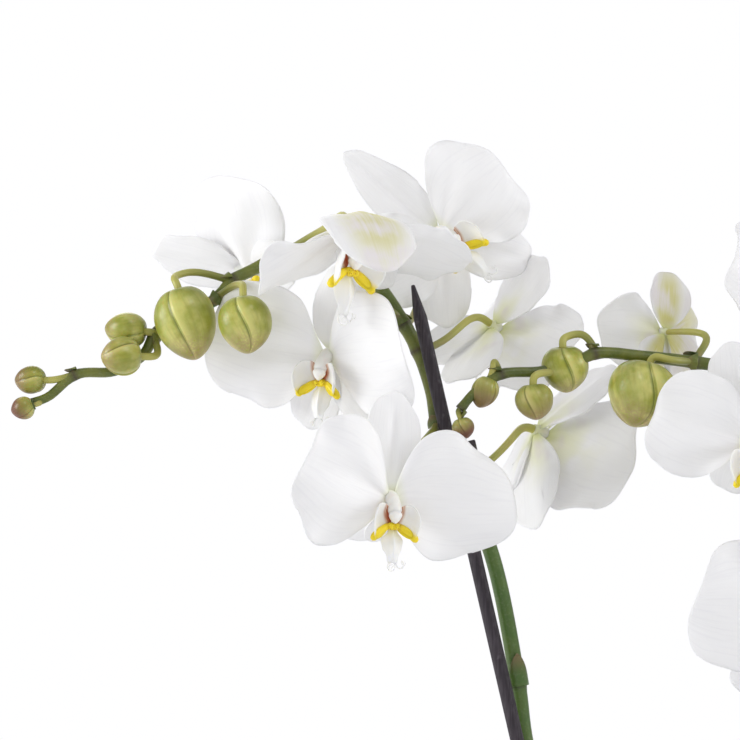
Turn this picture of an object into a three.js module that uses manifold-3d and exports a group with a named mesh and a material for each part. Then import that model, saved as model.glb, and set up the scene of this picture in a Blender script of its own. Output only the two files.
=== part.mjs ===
// A white moth orchid in a plain round pot: two leaning sprays of blooms and buds, held by dark stakes,
// over thick leaves and bark. Millimetres, +Z up, +X to the right, -Y towards the viewer.
// The origin is the middle of the pot's flat underside.
import * as THREE from "three";
import { mergeVertices } from "three/addons/utils/BufferGeometryUtils.js";
import Module from "manifold-3d";

const wasm = await Module();
wasm.setup();

const gap = 0.3; // between pieces that touch

// Pot and bark
const potHeight = 122;
const potTopRadius = 62;
const potFootRadius = 45;
const potWall = 4.5;
const potFloor = 6;
const potSides = 22;
const barkTop = 108;
const chipCount = 20;
const chipSize = 25;

// Crown and leaves
const crownRadius = 9.5;
const crownTop = 150;
const crownFoot = 84;
const rootRadius = 2.8;
const rootRoom = 1.2; // round a root where it enters the bark
const leafThickness = 2;
const leafWaist = 0.3; // of its width, at its foot
const leafPlane = -20; // degrees that the two rows of leaves are turned from the X axis

// Sprays and stakes
const axisRadius = 3.8;
const axisTipRadius = 1.5;
const pedicelRadius = 1.7;
const stakeRadius = 3.1;
const stakeFoot = 24;
const clipHeight = 7;
const clipWall = 2.4;
const clipHalfWidth = 6;
const clipGrip = 7; // how far its two grips stand out

// Blooms: a flat bloom is about 95 across
const tepalThickness = 0.8;
const lipThickness = 0.9;
const tepalRoot = 1.4; // from the bloom's middle
const receptacleBack = 3.4;
const sepal = {
  length: 45, width: 27, claw: 0.6, lift: -1.2, rise: -0.05, curl: 1.6, tip: 3, rows: 3, columns: 2,
};
const petal = {
  length: 51, width: 60, claw: 0.85, lift: 1.2, rise: 0.16, curl: 5, tip: 5, rows: 4, columns: 4,
};
// Headings in the bloom's face, in degrees from its right side
const tepals = {
  top: { ...sepal, heading: 90 },
  lowLeft: { ...sepal, heading: 234 },
  lowRight: { ...sepal, heading: 306 },
  left: { ...petal, heading: 168 },
  right: { ...petal, heading: 12 },
};

// Each bloom: where its middle is, how far it is turned to the right, nods and rolls (in degrees), its size,
// how cupped it is, the point of the spray's axis that its stalk leaves, the points that the stalk passes,
// how far behind the bloom the stalk straightens (its neck), and what is special to its tepals.
const leftBlooms = [
  {
    name: "left_1", at: [-61.6, 38, 520.6], turn: 115, nod: -31, roll: 16, cup: { petals: 0.47, sepals: 0.5 },
    neck: 5, stem: 7, by: [[-90, 12, 505], [-75, 24, 518]],
  },
  {
    name: "left_2", at: [-132.5, -52, 494], turn: 16, nod: -8, roll: -4, stem: 8, by: [[-113, -10, 522]],
    left: { heading: 162, rise: 0.5, length: 50 }, right: { heading: 3, length: 56, width: 57 },
    lowLeft: { heading: 246, length: 25, rise: -1.1 }, lowRight: { heading: 298, length: 25, rise: -1.1 },
  },
  {
    name: "left_3", at: [-82.6, 42, 570.1], turn: 128, nod: -38, roll: 25, size: 0.88,
    cup: { petals: 0.27, sepals: 0 }, neck: 6, stem: 10,
    by: [[-106, 18, 564], [-93, 32, 575]],
  },
  {
    name: "left_4", at: [-159, -19, 556], turn: -24, nod: -12, roll: -4, stem: 11,
    by: [[-135, 0, 580], [-147, -6, 575]], left: { heading: 173, length: 59 },
    right: { rise: 0.5, length: 47 }, top: { length: 38, rise: -0.45 }, lowLeft: { heading: 244, length: 38 },
  },
  {
    name: "left_5", at: [-108, 28, 613], turn: 14, nod: 4, roll: 41, size: 1.06, stem: 11,
    by: [[-122, 26, 572], [-114, 44, 596]],
    top: { heading: 97, length: 55, pointed: 0.5 }, right: { heading: 5, length: 44, width: 53 },
    lowLeft: { length: 40 }, left: { length: 44, width: 44 },
  },
  {
    name: "left_6", at: [-151, -46, 612], turn: 18, nod: -72, roll: -22, neck: 4.5, stem: 16,
    by: [[-168, -8, 610], [-157, -30, 615]], top: { rise: 0.3, tip: -24, width: 32 },
    left: { heading: 202, rise: 0.62, width: 38 }, right: { rise: 0.35, length: 56 },
    lowLeft: { heading: 228, rise: 0.5 }, lowRight: { heading: 332, rise: 0.6, length: 37 },
  },
  {
    name: "left_7", at: [-196.8, 50, 594.1], turn: -42, nod: -25, roll: 73, stem: 15,
    by: [[-176, 26, 608], [-182, 46, 604]], cup: { petals: -0.1, sepals: 0.5 }, top: { heading: 80, length: 49 },
  },
];
const rightBlooms = [
  { name: "right_1", at: [116, 2, 416], turn: 50, nod: -10, roll: 0, stem: 4, by: [[88, 14, 412]] },
  { name: "right_2", at: [49, -32, 444], turn: 8, nod: -8, roll: 6, stem: 5, by: [[66, -10, 448]] },
  { name: "right_3", at: [118, -6, 500], turn: 62, nod: 0, roll: -8, stem: 6, by: [[92, 2, 492]] },
  {
    name: "right_4", at: [24, -50, 518], turn: -4, nod: -6, roll: 10, stem: 8,
    by: [[50, -28, 540], [36, -36, 534]], left: { heading: 150, length: 46, width: 48 },
    lowLeft: { heading: 246, length: 26, rise: -1.1 }, lowRight: { heading: 298, length: 26, rise: -1.1 },
  },
  {
    name: "right_5", at: [60, 12, 577], turn: 36, nod: 20, roll: -20, stem: 9,
    by: [[44, 10, 550], [46, 24, 562]],
  },
  {
    name: "right_6", at: [-5.6, 12, 567.3], turn: 217, nod: -2, roll: -7, size: 0.59,
    cup: { petals: 0.3, sepals: 0.2 }, stem: 11, by: [[12, -4, 566]],
  },
];

// The axis of each spray, from the crown to the tip
const leftAxis = [
  [-9, -12, 116], [-15.5, -19, 150], [-30, -19, 215], [-50, -15, 300], [-70.5, -7, 381],
  [-74, -5, 408], [-85, -1.5, 464], [-101, 1, 504.5], [-110, 2.5, 525.5], [-112.5, 4, 540],
  [-118.5, 6, 558], [-126, 7, 572], [-135.5, 8, 586.5], [-147.5, 9, 599.5], [-159, 8, 606],
  [-170.5, 6, 606.5], [-181.5, 4, 602.5], [-193.5, 2, 596], [-203.5, 0, 590.5], [-210.5, -2, 582.5],
  [-220.5, -4, 576.5], [-234, -6, 570], [-238.5, -7, 565.5], [-243, -8, 557], [-256, -10, 549.5],
  [-273, -11, 548], [-285.5, -12, 538], [-293, -13, 535],
];
const rightAxis = [
  [9, 12, 118], [15.5, 19, 152], [29, 19, 220], [48, 15, 310], [64, 9, 380],
  [76, 4, 430], [79, -2, 474], [74, -8, 506], [60, -12, 529], [44, -15, 543],
  [24.5, -18, 550], [3.5, -20, 553.5], [-19, -22, 556], [-40, -24, 557.5], [-49.5, -24, 553.5],
  [-64.5, -25, 549.5], [-83, -26, 548], [-94.5, -27, 540], [-101, -28, 532.5],
];

// Each bud: its length and width, its middle, the way its tip points, the axis point and the points of its
// stalk
const leftBuds = [
  { size: [29, 24], at: [-195.8, -33, 570.7], tip: [0.1, -0.2, -1], stem: 19,
    by: [[-203, -10, 588], [-197, -24, 588]] },
  { size: [35, 28], at: [-222.9, -18, 571.8], tip: [0.25, -0.1, -1], stem: 18,
    by: [[-222, -4, 595], [-231, -12, 591]] },
  { size: [19, 16], at: [-251.5, -19, 556], tip: [-1, -0.3, 0], stem: 22, by: [[-236, -14, 556]] },
  { size: [20, 15], at: [-250.5, -8, 568], tip: [-1, 0.1, 0.1], stem: 22, by: [] },
  { size: [15, 11.5], at: [-293.5, -10, 545.5], tip: [-1, 0.2, 0], stem: 25, by: [] },
  { size: [11, 9.5], at: [-296.5, -14, 533], tip: [-1, 0, -0.3], stem: 27, by: [] },
];
const rightBuds = [
  { size: [31, 27], at: [-21, -32, 540], tip: [-0.3, -0.2, -1], stem: 11,
    by: [[-3, -28, 554], [-12, -32, 555]] },
  { size: [22, 19], at: [-54, -20, 551], tip: [0.1, 0.1, -1], stem: 13,
    by: [[-46, -19, 567], [-55, -19, 564]] },
  { size: [17, 15.5], at: [-68, -30, 536.5], tip: [0.1, 0, -1], stem: 14, by: [[-60, -27, 549]] },
  { size: [15, 11], at: [-90, -26, 540.5], tip: [-0.4, 0, -1], stem: 16, by: [[-86, -25, 555]] },
  { size: [10, 9], at: [-99.5, -28, 524.5], tip: [0.3, 0, -1], stem: 18, by: [] },
];

// Stakes: where each meets the bark and where it ends. Clips hold an axis to its stake, at these points of
// the axis.
const stakes = [
  { name: "left", foot: [-12, -32, barkTop], top: [-121.5, -2.5, 588.5], axis: leftAxis, clips: [3, 7.4] },
  { name: "right", foot: [17, 31, barkTop], top: [82, 12.5, 474], axis: rightAxis, clips: [3, 4.6] },
];

// Each leaf: side of the crown, height of its foot, length, width, rise and droop in degrees, twist of its
// heading
const leaves = [
  { side: -1, foot: 117, length: 178, width: 76, rise: 24, droop: 62, twist: -6 },
  { side: 1, foot: 119, length: 186, width: 78, rise: 26, droop: 60, twist: 1 },
  { side: -1, foot: 125, length: 205, width: 80, rise: 42, droop: 68, twist: 3 },
  { side: 1, foot: 128, length: 198, width: 76, rise: 47, droop: 66, twist: -3 },
  { side: -1, foot: 135, length: 150, width: 64, rise: 62, droop: 46, twist: -4 },
  { side: 1, foot: 139, length: 118, width: 52, rise: 72, droop: 32, twist: 4 },
];

// Aerial roots of the crown, each ending in the bark
const roots = [
  [[0, -6, 112], [6, -25, 117], [14, -40, 111], [16, -47, 96]],
  [[4, 5, 112], [2, 23, 117], [-8, 36, 111], [-12, 42, 96]],
  [[-6, 3, 110], [-23, 15, 114], [-37, 18, 108], [-44, 12, 94]],
  [[6, -3, 110], [24, -12, 114], [38, -14, 108], [43, -8, 94]],
];

const materialOf = {
  pot: { color: 0xd9d5cc, roughness: 0.3, metalness: 0 },
  bark: { color: 0x5b3f2a, roughness: 0.95, metalness: 0 },
  crown: { color: 0x6f8a4a, roughness: 0.7, metalness: 0 },
  leaf: { color: 0x2f5a26, roughness: 0.4, metalness: 0 },
  spray: { color: 0x6d8030, roughness: 0.55, metalness: 0 },
  bloom: { color: 0xf7f7f5, roughness: 0.55, metalness: 0 },
  lip: { color: 0xf0dc78, roughness: 0.5, metalness: 0 },
  stake: { color: 0x322b32, roughness: 0.7, metalness: 0 },
  clip: { color: 0x2a2622, roughness: 0.45, metalness: 0 },
};

const plant = new THREE.Group();

function vector([x, y, z]) {
  return new THREE.Vector3(x, y, z);
}

function radians(degrees) {
  return THREE.MathUtils.degToRad(degrees);
}

// A seeded draw between 0 and 1, the same each time
function drawFrom(seed) {
  let state = seed;
  return () => {
    state = (state * 1664525 + 1013904223) % 4294967296;
    return state / 4294967296;
  };
}

function addMesh(name, geometry, look, parent = plant) {
  const mesh = new THREE.Mesh(geometry, new THREE.MeshStandardMaterial(materialOf[look]));
  mesh.name = name;
  parent.add(mesh);
  return mesh;
}

// Joining and cutting

function solidOf(geometry) {
  const bare = geometry.clone();
  bare.deleteAttribute("normal");
  bare.deleteAttribute("uv");
  const merged = mergeVertices(bare, 1e-3);
  return new wasm.Manifold(
    new wasm.Mesh({
      numProp: 3,
      vertProperties: merged.attributes.position.array,
      triVerts: new Uint32Array(merged.index.array),
    }),
  );
}

function geometryOf(solid) {
  const mesh = solid.getMesh();
  return new THREE.BufferGeometry()
    .setAttribute("position", new THREE.BufferAttribute(mesh.vertProperties, 3))
    .setIndex(new THREE.BufferAttribute(mesh.triVerts, 1));
}

function joined(geometries) {
  return geometries.map(solidOf).reduce((whole, piece) => whole.add(piece));
}

// Basic shapes

// A closed sheet of even thickness. surface(p, q) places its middle, p and q from -1 to 1; both faces are
// split alike.
function blade(columns, rows, thickness, surface) {
  const sheet = new THREE.PlaneGeometry(2, 2, columns, rows);
  const spots = sheet.attributes.position;
  for (let i = 0; i < spots.count; i++) {
    const spot = surface(spots.getX(i), spots.getY(i));
    spots.setXYZ(i, spot.x, spot.y, spot.z);
  }
  sheet.computeVertexNormals();
  const normals = sheet.attributes.normal;
  const points = [];
  for (const side of [0.5, -0.5])
    for (let i = 0; i < spots.count; i++)
      for (const axis of ["getX", "getY", "getZ"])
        points.push(spots[axis](i) + side * thickness * normals[axis](i));
  const faces = [];
  const front = sheet.index.array;
  for (let i = 0; i < front.length; i += 3) {
    const [a, b, c] = [front[i], front[i + 1], front[i + 2]];
    faces.push(a, b, c, a + spots.count, c + spots.count, b + spots.count);
  }
  const edge = [];
  for (let i = 0; i < columns; i++) edge.push(i);
  for (let j = 0; j < rows; j++) edge.push(columns + j * (columns + 1));
  for (let i = columns; i > 0; i--) edge.push(rows * (columns + 1) + i);
  for (let j = rows; j > 0; j--) edge.push(j * (columns + 1));
  edge.forEach((a, k) => {
    const b = edge[(k + 1) % edge.length];
    faces.push(a, b, b + spots.count, a, b + spots.count, a + spots.count);
  });
  return new THREE.BufferGeometry()
    .setAttribute("position", new THREE.Float32BufferAttribute(points, 3))
    .setIndex(faces);
}

// A closed rod bent along the points, with a radius for each share of its length
function rod(points, radiusAt, sides, steps) {
  const curve = new THREE.CatmullRomCurve3(points, false, "centripetal");
  const frames = curve.computeFrenetFrames(steps);
  const shape = new THREE.CylinderGeometry(1, 1, 1, sides, steps);
  const spots = shape.attributes.position;
  for (let i = 0; i < spots.count; i++) {
    const step = Math.round((spots.getY(i) + 0.5) * steps);
    const radius = radiusAt(step / steps);
    const spot = curve
      .getPointAt(step / steps)
      .addScaledVector(frames.normals[step], spots.getX(i) * radius)
      .addScaledVector(frames.binormals[step], -spots.getZ(i) * radius);
    spots.setXYZ(i, spot.x, spot.y, spot.z);
  }
  return shape;
}

function tapered(from, to) {
  return (share) => from + (to - from) * share;
}

// A straight round bar between two points
function bar(from, to, radius, sides) {
  return rod([vector(from), vector(from).lerp(vector(to), 0.5), vector(to)], () => radius, sides, 1);
}

// Blooms. In a bloom's own frame +Z faces out of it, +Y is towards its top sepal and +X is its right side.

function sizeOf(bloom) {
  return bloom.size ?? 1;
}

// The square of p and q becomes a round outline that narrows at its foot, bent as the tepal is
function tepalPoint(shape, p, q) {
  const share = (q * Math.sqrt(1 - (p * p) / 2) + 1) / 2;
  const narrowing = 1 - shape.claw * Math.exp(-share / 0.1);
  const pointing = 1 - (shape.pointed ?? 0) * share ** 2;
  const across = p * Math.sqrt(1 - (q * q) / 2) * (shape.width / 2) * narrowing * pointing;
  const along = tepalRoot + (shape.length - tepalRoot) * share;
  const fromMiddle = across / (shape.width / 2);
  const lift =
    shape.lift + shape.rise * along - shape.curl * fromMiddle ** 2 * share - shape.tip * share ** 3;
  return new THREE.Vector3(across, along, lift);
}

function tepal(shape, thickness) {
  const turned = new THREE.Matrix4().makeRotationZ(radians(shape.heading - 90));
  const sheet = blade(shape.columns, shape.rows, thickness, (p, q) => tepalPoint(shape, p, q));
  return sheet.applyMatrix4(turned);
}

// The column arches over the lip; its foot joins the tepals and meets the stalk
function column() {
  const path = [[0, 0, -receptacleBack], [0, 1, 2], [0, -1, 9], [0, -7, 12]].map(vector);
  return rod(path, (share) => [2.6, 3.4, 3, 1.7][Math.round(share * 3)], 5, 3);
}

function bloomSolid(bloom) {
  const cup = { petals: 0, sepals: 0, ...bloom.cup };
  const pieces = Object.entries(tepals).map(([part, usual]) => {
    const shape = { ...usual, ...bloom[part] };
    const rise = shape.rise + (part === "left" || part === "right" ? cup.petals : cup.sepals);
    return tepal({ ...shape, rise }, tepalThickness / sizeOf(bloom));
  });
  return joined([column(), ...pieces]);
}

// The lip is one folded sheet: its sides stand up beside the column and its middle hangs forward
function lipPoint(p, q) {
  const share = (q + 1) / 2;
  const lobe = Math.exp(-(((share - 0.3) / 0.17) ** 2));
  const midlobe = Math.exp(-(((share - 0.78) / 0.15) ** 2));
  const width = 1.6 + 4.6 * midlobe;
  const inner = Math.min(Math.abs(p), 0.5) * 2 * (width + 2.6 * lobe);
  const side = Math.max(0, Math.abs(p) - 0.5) * 2;
  const outer = side * (3.4 * lobe + 0.4 * width * (1 - lobe));
  const raised = side * lobe;
  return new THREE.Vector3(
    Math.sign(p) * (inner + outer),
    -6 - 19 * share + 14 * raised,
    4.5 + 13 * share ** 0.8 - 3 * share ** 4 + 2.5 * raised,
  );
}

function lipGeometry(bloom) {
  return blade(4, 6, lipThickness / sizeOf(bloom), lipPoint);
}

function bloomMatrix(bloom) {
  const [turn, nod, roll] = [bloom.turn, bloom.nod, bloom.roll].map(radians);
  const flat = Math.cos(nod);
  const facing = new THREE.Vector3(Math.sin(turn) * flat, -Math.cos(turn) * flat, Math.sin(nod));
  const up = new THREE.Vector3(0, 0, 1).projectOnPlane(facing).normalize().applyAxisAngle(facing, roll);
  const right = up.clone().cross(facing);
  const size = sizeOf(bloom);
  const turned = new THREE.Matrix4().makeBasis(right, up, facing);
  return turned.scale(new THREE.Vector3(size, size, size)).setPosition(vector(bloom.at));
}

function addBloom(bloom) {
  const holder = new THREE.Group();
  holder.applyMatrix4(bloomMatrix(bloom));
  plant.add(holder);
  addMesh("bloom_" + bloom.name, geometryOf(bloomSolid(bloom)), "bloom", holder);
  addMesh("lip_" + bloom.name, lipGeometry(bloom), "lip", holder);
}

// Sprays

function bloomStalk(bloom, axis) {
  const matrix = bloomMatrix(bloom);
  const end = new THREE.Vector3(0, 0, -receptacleBack - gap).applyMatrix4(matrix);
  const before = new THREE.Vector3(0, 0, -receptacleBack - (bloom.neck ?? 9)).applyMatrix4(matrix);
  const points = [vector(axis[bloom.stem]), ...bloom.by.map(vector), before, end];
  return rod(points, tapered(pedicelRadius, 1.9 * sizeOf(bloom)), 4, 6);
}

function budShape(bud) {
  const [length, width] = bud.size;
  const shape = new THREE.SphereGeometry(1, 6, 5);
  const spots = shape.attributes.position;
  for (let i = 0; i < spots.count; i++) {
    const fullness = 1 - 0.16 * spots.getY(i);
    spots.setX(i, spots.getX(i) * fullness);
    spots.setZ(i, spots.getZ(i) * fullness);
  }
  const tip = vector(bud.tip).normalize();
  const turned = new THREE.Quaternion().setFromUnitVectors(new THREE.Vector3(0, 1, 0), tip);
  return shape.scale(width / 2, length / 2, width / 2).applyQuaternion(turned).translate(...bud.at);
}

function budStalk(bud, axis) {
  const tip = vector(bud.tip).normalize();
  const end = vector(bud.at).addScaledVector(tip, -bud.size[0] * 0.3);
  const before = vector(bud.at).addScaledVector(tip, -bud.size[0] * 0.5 - 3);
  const radius = Math.min(pedicelRadius, bud.size[1] * 0.14);
  return rod([vector(axis[bud.stem]), ...bud.by.map(vector), before, end], () => radius, 4, 4);
}

function axisRadiusAt(share) {
  return axisRadius + (axisTipRadius - axisRadius) * share ** 2;
}

function addSpray(name, axis, blooms, buds, steps) {
  const axisRod = rod(axis.map(vector), axisRadiusAt, 6, steps);
  const bloomStalks = blooms.map((bloom) => bloomStalk(bloom, axis));
  const budStalks = buds.map((bud) => budStalk(bud, axis));
  const whole = joined([axisRod, ...bloomStalks, ...budStalks, ...buds.map(budShape)]);
  addMesh("spray_" + name, geometryOf(whole), "spray");
  blooms.forEach(addBloom);
}

// Stakes and clips

function stakeEnds(stake) {
  const foot = vector(stake.foot);
  const top = vector(stake.top);
  const lean = top.clone().sub(foot).normalize();
  return { foot, top, lean, base: foot.clone().addScaledVector(lean, -(stake.foot[2] - stakeFoot) / lean.z) };
}

// A clip is an oval block round stake and axis, with a hole for each and two flared grips
function clipSolid(stake, place) {
  const { foot, lean } = stakeEnds(stake);
  const [before, after] = [vector(stake.axis[Math.floor(place)]), vector(stake.axis[Math.floor(place) + 1])];
  const onAxis = before.clone().lerp(after, place % 1);
  const onStake = foot.clone().addScaledVector(lean, (onAxis.z - foot.z) / lean.z);
  const across = onAxis.clone().sub(onStake).projectOnPlane(lean);
  const sideways = across.clone().normalize();
  const turned = new THREE.Matrix4().makeBasis(sideways, lean, sideways.clone().cross(lean));
  const placed = turned.setPosition(onStake.clone().lerp(onAxis, 0.5));
  const halfLength = across.length() / 2 + stakeRadius + clipWall;
  const block = new THREE.CylinderGeometry(1, 1, clipHeight, 10).scale(halfLength, 1, clipHalfWidth);
  const grips = [-1, 1].map((side) =>
    new THREE.BoxGeometry(clipWall, clipHeight - 1, clipGrip)
      .rotateY(side * 0.35)
      .translate(side * 2.6, 0, clipHalfWidth + clipGrip / 2 - 1),
  );
  const hole = (middle, along, radius) => {
    const end = (far) => middle.clone().addScaledVector(along, far).toArray();
    return solidOf(bar(end(-clipHeight), end(clipHeight), radius + 2.5 * gap, 8));
  };
  const along = after.clone().sub(before).normalize();
  return joined([block, ...grips].map((piece) => piece.applyMatrix4(placed)))
    .subtract(hole(onStake, lean, stakeRadius))
    .subtract(hole(onAxis, along, axisRadiusAt(place / (stake.axis.length - 1))));
}

function addStake(stake) {
  const { top, base } = stakeEnds(stake);
  addMesh("stake_" + stake.name, bar(base.toArray(), top.toArray(), stakeRadius, 8), "stake");
  stake.clips.forEach((place, i) =>
    addMesh("clip_" + stake.name + "_" + (i + 1), geometryOf(clipSolid(stake, place)), "clip"),
  );
}

// Leaves

function leafPoint(leaf, p, q) {
  const share = (q + 1) / 2;
  const heading = radians(leafPlane + leaf.twist + (leaf.side < 0 ? 180 : 0));
  const [rise, droop] = [radians(leaf.rise), radians(leaf.droop)];
  const slope = rise - droop * share;
  const reach = (leaf.length / droop) * (Math.sin(rise) - Math.sin(slope)) + crownRadius + 1.6;
  const height = (leaf.length / droop) * (Math.cos(slope) - Math.cos(rise)) + leaf.foot;
  const waist = leafWaist + (1 - leafWaist) * Math.sin((Math.PI / 2) * Math.min(1, share / 0.55)) ** 1.3;
  const rounding = Math.sqrt(Math.max(0.012, 1 - Math.max(0, (share - 0.55) / 0.45) ** 2.4));
  const across = p * (leaf.width / 2) * waist * rounding;
  const fold = Math.abs(across) * (0.26 - 0.16 * share + 0.45 * (1 - share) ** 5);
  const out = reach - fold * Math.sin(slope);
  return new THREE.Vector3(
    out * Math.cos(heading) - across * Math.sin(heading),
    out * Math.sin(heading) + across * Math.cos(heading),
    height + fold * Math.cos(slope),
  );
}

function addLeaves() {
  leaves.forEach((leaf, i) =>
    addMesh("leaf_" + (i + 1), blade(4, 7, leafThickness, (p, q) => leafPoint(leaf, p, q)), "leaf"),
  );
}

// Crown with its roots, bark and pot

function crownSolid() {
  const path = [[0, 0, crownFoot], [0, 0, (crownFoot + crownTop) / 2], [0, 0, crownTop]].map(vector);
  const stem = rod(path, (share) => crownRadius * [0.6, 0.95, 1, 0.7][Math.round(share * 3)], 10, 3);
  const taper = tapered(rootRadius, rootRadius * 0.8);
  return joined([stem, ...roots.map((root) => rod(root.map(vector), taper, 5, 5))]);
}

function turnedProfile(profile) {
  const points = profile.map(([radius, height]) => new THREE.Vector2(radius, height));
  return new THREE.LatheGeometry(points, potSides).rotateX(Math.PI / 2);
}

function potRadiusAt(height) {
  return potFootRadius + (potTopRadius - potFootRadius) * (height / potHeight) ** 0.8;
}

function addPot() {
  const inside = (height) => potRadiusAt(height) - potWall;
  const levels = [potHeight * 0.92, potHeight * 0.6, potHeight * 0.3, potFloor];
  const outer = [0.02, 0.3, 0.6, 0.92].map((share) => [potRadiusAt(potHeight * share), potHeight * share]);
  const profile = [
    [0, 0], [potFootRadius - 2.5, 0], ...outer,
    [potTopRadius + 1.6, potHeight - 6], [potTopRadius + 1.6, potHeight - 1.5], [potTopRadius, potHeight],
    [potTopRadius - potWall + 1, potHeight],
    ...levels.map((height) => [inside(height), height]), [0, potFloor],
  ];
  addMesh("pot", turnedProfile(profile), "pot");
}

function barkSolid(holes) {
  const draw = drawFrom(7);
  const fill = (height) => potRadiusAt(height) - potWall - 1;
  const foot = potFloor + gap;
  const shoulder = barkTop - 8;
  const plug = turnedProfile([
    [0, foot], [fill(foot), foot], [fill(shoulder / 2), shoulder / 2], [fill(shoulder), shoulder],
    [0, shoulder + 3],
  ]);
  const chips = [];
  for (let i = 0; i < chipCount; i++) {
    const radius = Math.sqrt((i + 0.5) / chipCount) * (fill(barkTop) - chipSize * 0.66);
    const angle = i * radians(137.5);
    const [long, broad, high] = [0.8 + 0.35 * draw(), 0.5 + 0.3 * draw(), 0.4 + 0.2 * draw()];
    const chip = new THREE.BoxGeometry(chipSize * long, chipSize * broad, chipSize * high);
    chip.rotateX(draw() * 0.8 - 0.4).rotateY(draw() * 0.8 - 0.4).rotateZ(draw() * Math.PI);
    const height = barkTop - 6 + draw() * 3.5;
    chips.push(chip.translate(radius * Math.cos(angle), radius * Math.sin(angle), height));
  }
  const cut = holes.reduce((whole, hole) => whole.subtract(hole), joined([plug, ...chips]));
  return cut.decompose().reduce((most, scrap) => (scrap.volume() > most.volume() ? scrap : most));
}

// Plain holes, a gap wider than what stands in them
function barkHoles() {
  const wide = gap * 2;
  const crownHole = bar([0, 0, crownFoot - 2], [0, 0, potHeight + 10], crownRadius + wide, 12);
  const stakeHoles = stakes.map((stake) => {
    const { foot, base, lean } = stakeEnds(stake);
    const [low, high] = [base.clone().addScaledVector(lean, -2), foot.clone().addScaledVector(lean, 20)];
    return bar(low.toArray(), high.toArray(), stakeRadius + wide, 8);
  });
  const rootHoles = roots.map((path) => {
    const points = path.map(vector);
    const last = points.at(-1).clone();
    points.push(last.add(last.clone().sub(points.at(-2)).setLength(2)));
    return rod(points, () => rootRadius + rootRoom, 6, 5);
  });
  return [crownHole, ...stakeHoles, ...rootHoles].map(solidOf);
}

addPot();
addMesh("bark", geometryOf(barkSolid(barkHoles())), "bark");
addMesh("crown", geometryOf(crownSolid()), "crown");
addLeaves();
stakes.forEach(addStake);
addSpray("left", leftAxis, leftBlooms, leftBuds, 38);
addSpray("right", rightAxis, rightBlooms, rightBuds, 32);

export default plant;
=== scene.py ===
import random
from math import atan2, cos, exp, hypot, pi, radians, remainder, sin, sqrt, tanh, tau

import bmesh
import bpy
from mathutils import Matrix, Vector, geometry, noise


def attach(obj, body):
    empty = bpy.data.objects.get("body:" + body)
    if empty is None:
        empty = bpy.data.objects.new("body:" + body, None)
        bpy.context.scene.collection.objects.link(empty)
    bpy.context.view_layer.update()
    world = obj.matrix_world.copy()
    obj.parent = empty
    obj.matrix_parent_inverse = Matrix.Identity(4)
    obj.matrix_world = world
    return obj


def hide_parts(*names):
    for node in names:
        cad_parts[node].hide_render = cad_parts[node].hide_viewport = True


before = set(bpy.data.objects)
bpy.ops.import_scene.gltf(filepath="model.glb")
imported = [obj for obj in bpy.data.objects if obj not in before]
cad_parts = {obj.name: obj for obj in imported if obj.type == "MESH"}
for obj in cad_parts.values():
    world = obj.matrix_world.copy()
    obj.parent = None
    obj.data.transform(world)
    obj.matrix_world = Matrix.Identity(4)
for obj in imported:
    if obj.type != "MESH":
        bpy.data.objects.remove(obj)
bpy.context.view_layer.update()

# A white moth orchid: two leaning sprays over thick leaves, in a plain round pot. Shapes are worked
# out in millimetres, +Z up and -Y towards the viewer, and made metres when each piece is finished.
mm = 0.001
gap = 0.3  # between a piece and the one that it stands in
mergeReach = 0.001
scene = bpy.context.scene


# Nodes and looks

brush = {"look": None, "tree": None, "shader": None}  # what the helpers below are working on


def setInput(socket, value):  # a socket is linked, and a colour gets its alpha
    if isinstance(value, bpy.types.NodeSocket):
        brush["tree"].links.new(value, socket)
    elif isinstance(value, tuple) and socket.type == "RGBA":
        socket.default_value = (*value, 1)
    else:
        socket.default_value = value


def addNode(kind, inputs, **settings):
    node = brush["tree"].nodes.new(kind)
    for key, value in settings.items():
        setattr(node, key, value)
    for key, value in inputs.items():
        setInput(node.inputs[key], value)
    return node


def calc(operation, a, b=0.0, c=0.0):
    return addNode("ShaderNodeMath", {0: a, 1: b, 2: c}, operation=operation).outputs[0]


def times(first, *others):
    for other in others:
        first = calc("MULTIPLY", first, other)
    return first


def scaled(value, by, plus):
    return calc("MULTIPLY_ADD", value, by, plus)


def apart(value, middle=0.0):  # how far a value is from the middle, to either side
    return calc("ABSOLUTE", calc("SUBTRACT", value, middle))


def fade(value, start, end, most=1.0):  # 0 at start and the most at end, smooth between
    inputs = {"Value": value, "From Min": start, "From Max": end, "To Max": most}
    return addNode("ShaderNodeMapRange", inputs, interpolation_type="SMOOTHSTEP").outputs["Result"]


def reaches(part, number):  # 1 on the parts that carry this number or a higher one
    return fade(part, number - 0.6, number - 0.4)


def combine(x, y=0.0, z=0.0):
    return addNode("ShaderNodeCombineXYZ", {"X": x, "Y": y, "Z": z}).outputs[0]


def cloud(vector, scale, detail, roughness=0.5):
    inputs = {"Vector": vector, "Scale": scale, "Detail": detail, "Roughness": roughness}
    return addNode("ShaderNodeTexNoise", inputs).outputs[0]


def cells(vector, scale):
    return addNode("ShaderNodeTexVoronoi", {"Vector": vector, "Scale": scale}).outputs["Distance"]


def stretched(vector, scale, turn=(0.0, 0.0, 0.0)):
    inputs = {"Vector": vector, "Scale": scale, "Rotation": turn}
    return addNode("ShaderNodeMapping", inputs).outputs[0]


def roughen(height, strength, distance, under=None):
    inputs = {"Height": height, "Strength": strength, "Distance": distance}
    if under is not None:
        inputs["Normal"] = under
    return addNode("ShaderNodeBump", inputs).outputs[0]


def paint(shades, base, *coats):  # lays coats of (amount, colour) on the base, in their order
    def shade(colour):
        return shades[colour] if isinstance(colour, str) else colour

    colour = shade(base)
    for amount, over in coats:
        inputs = {0: amount, 6: colour, 7: shade(over)}
        colour = addNode("ShaderNodeMix", inputs, data_type="RGBA").outputs[2]
    return colour


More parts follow.
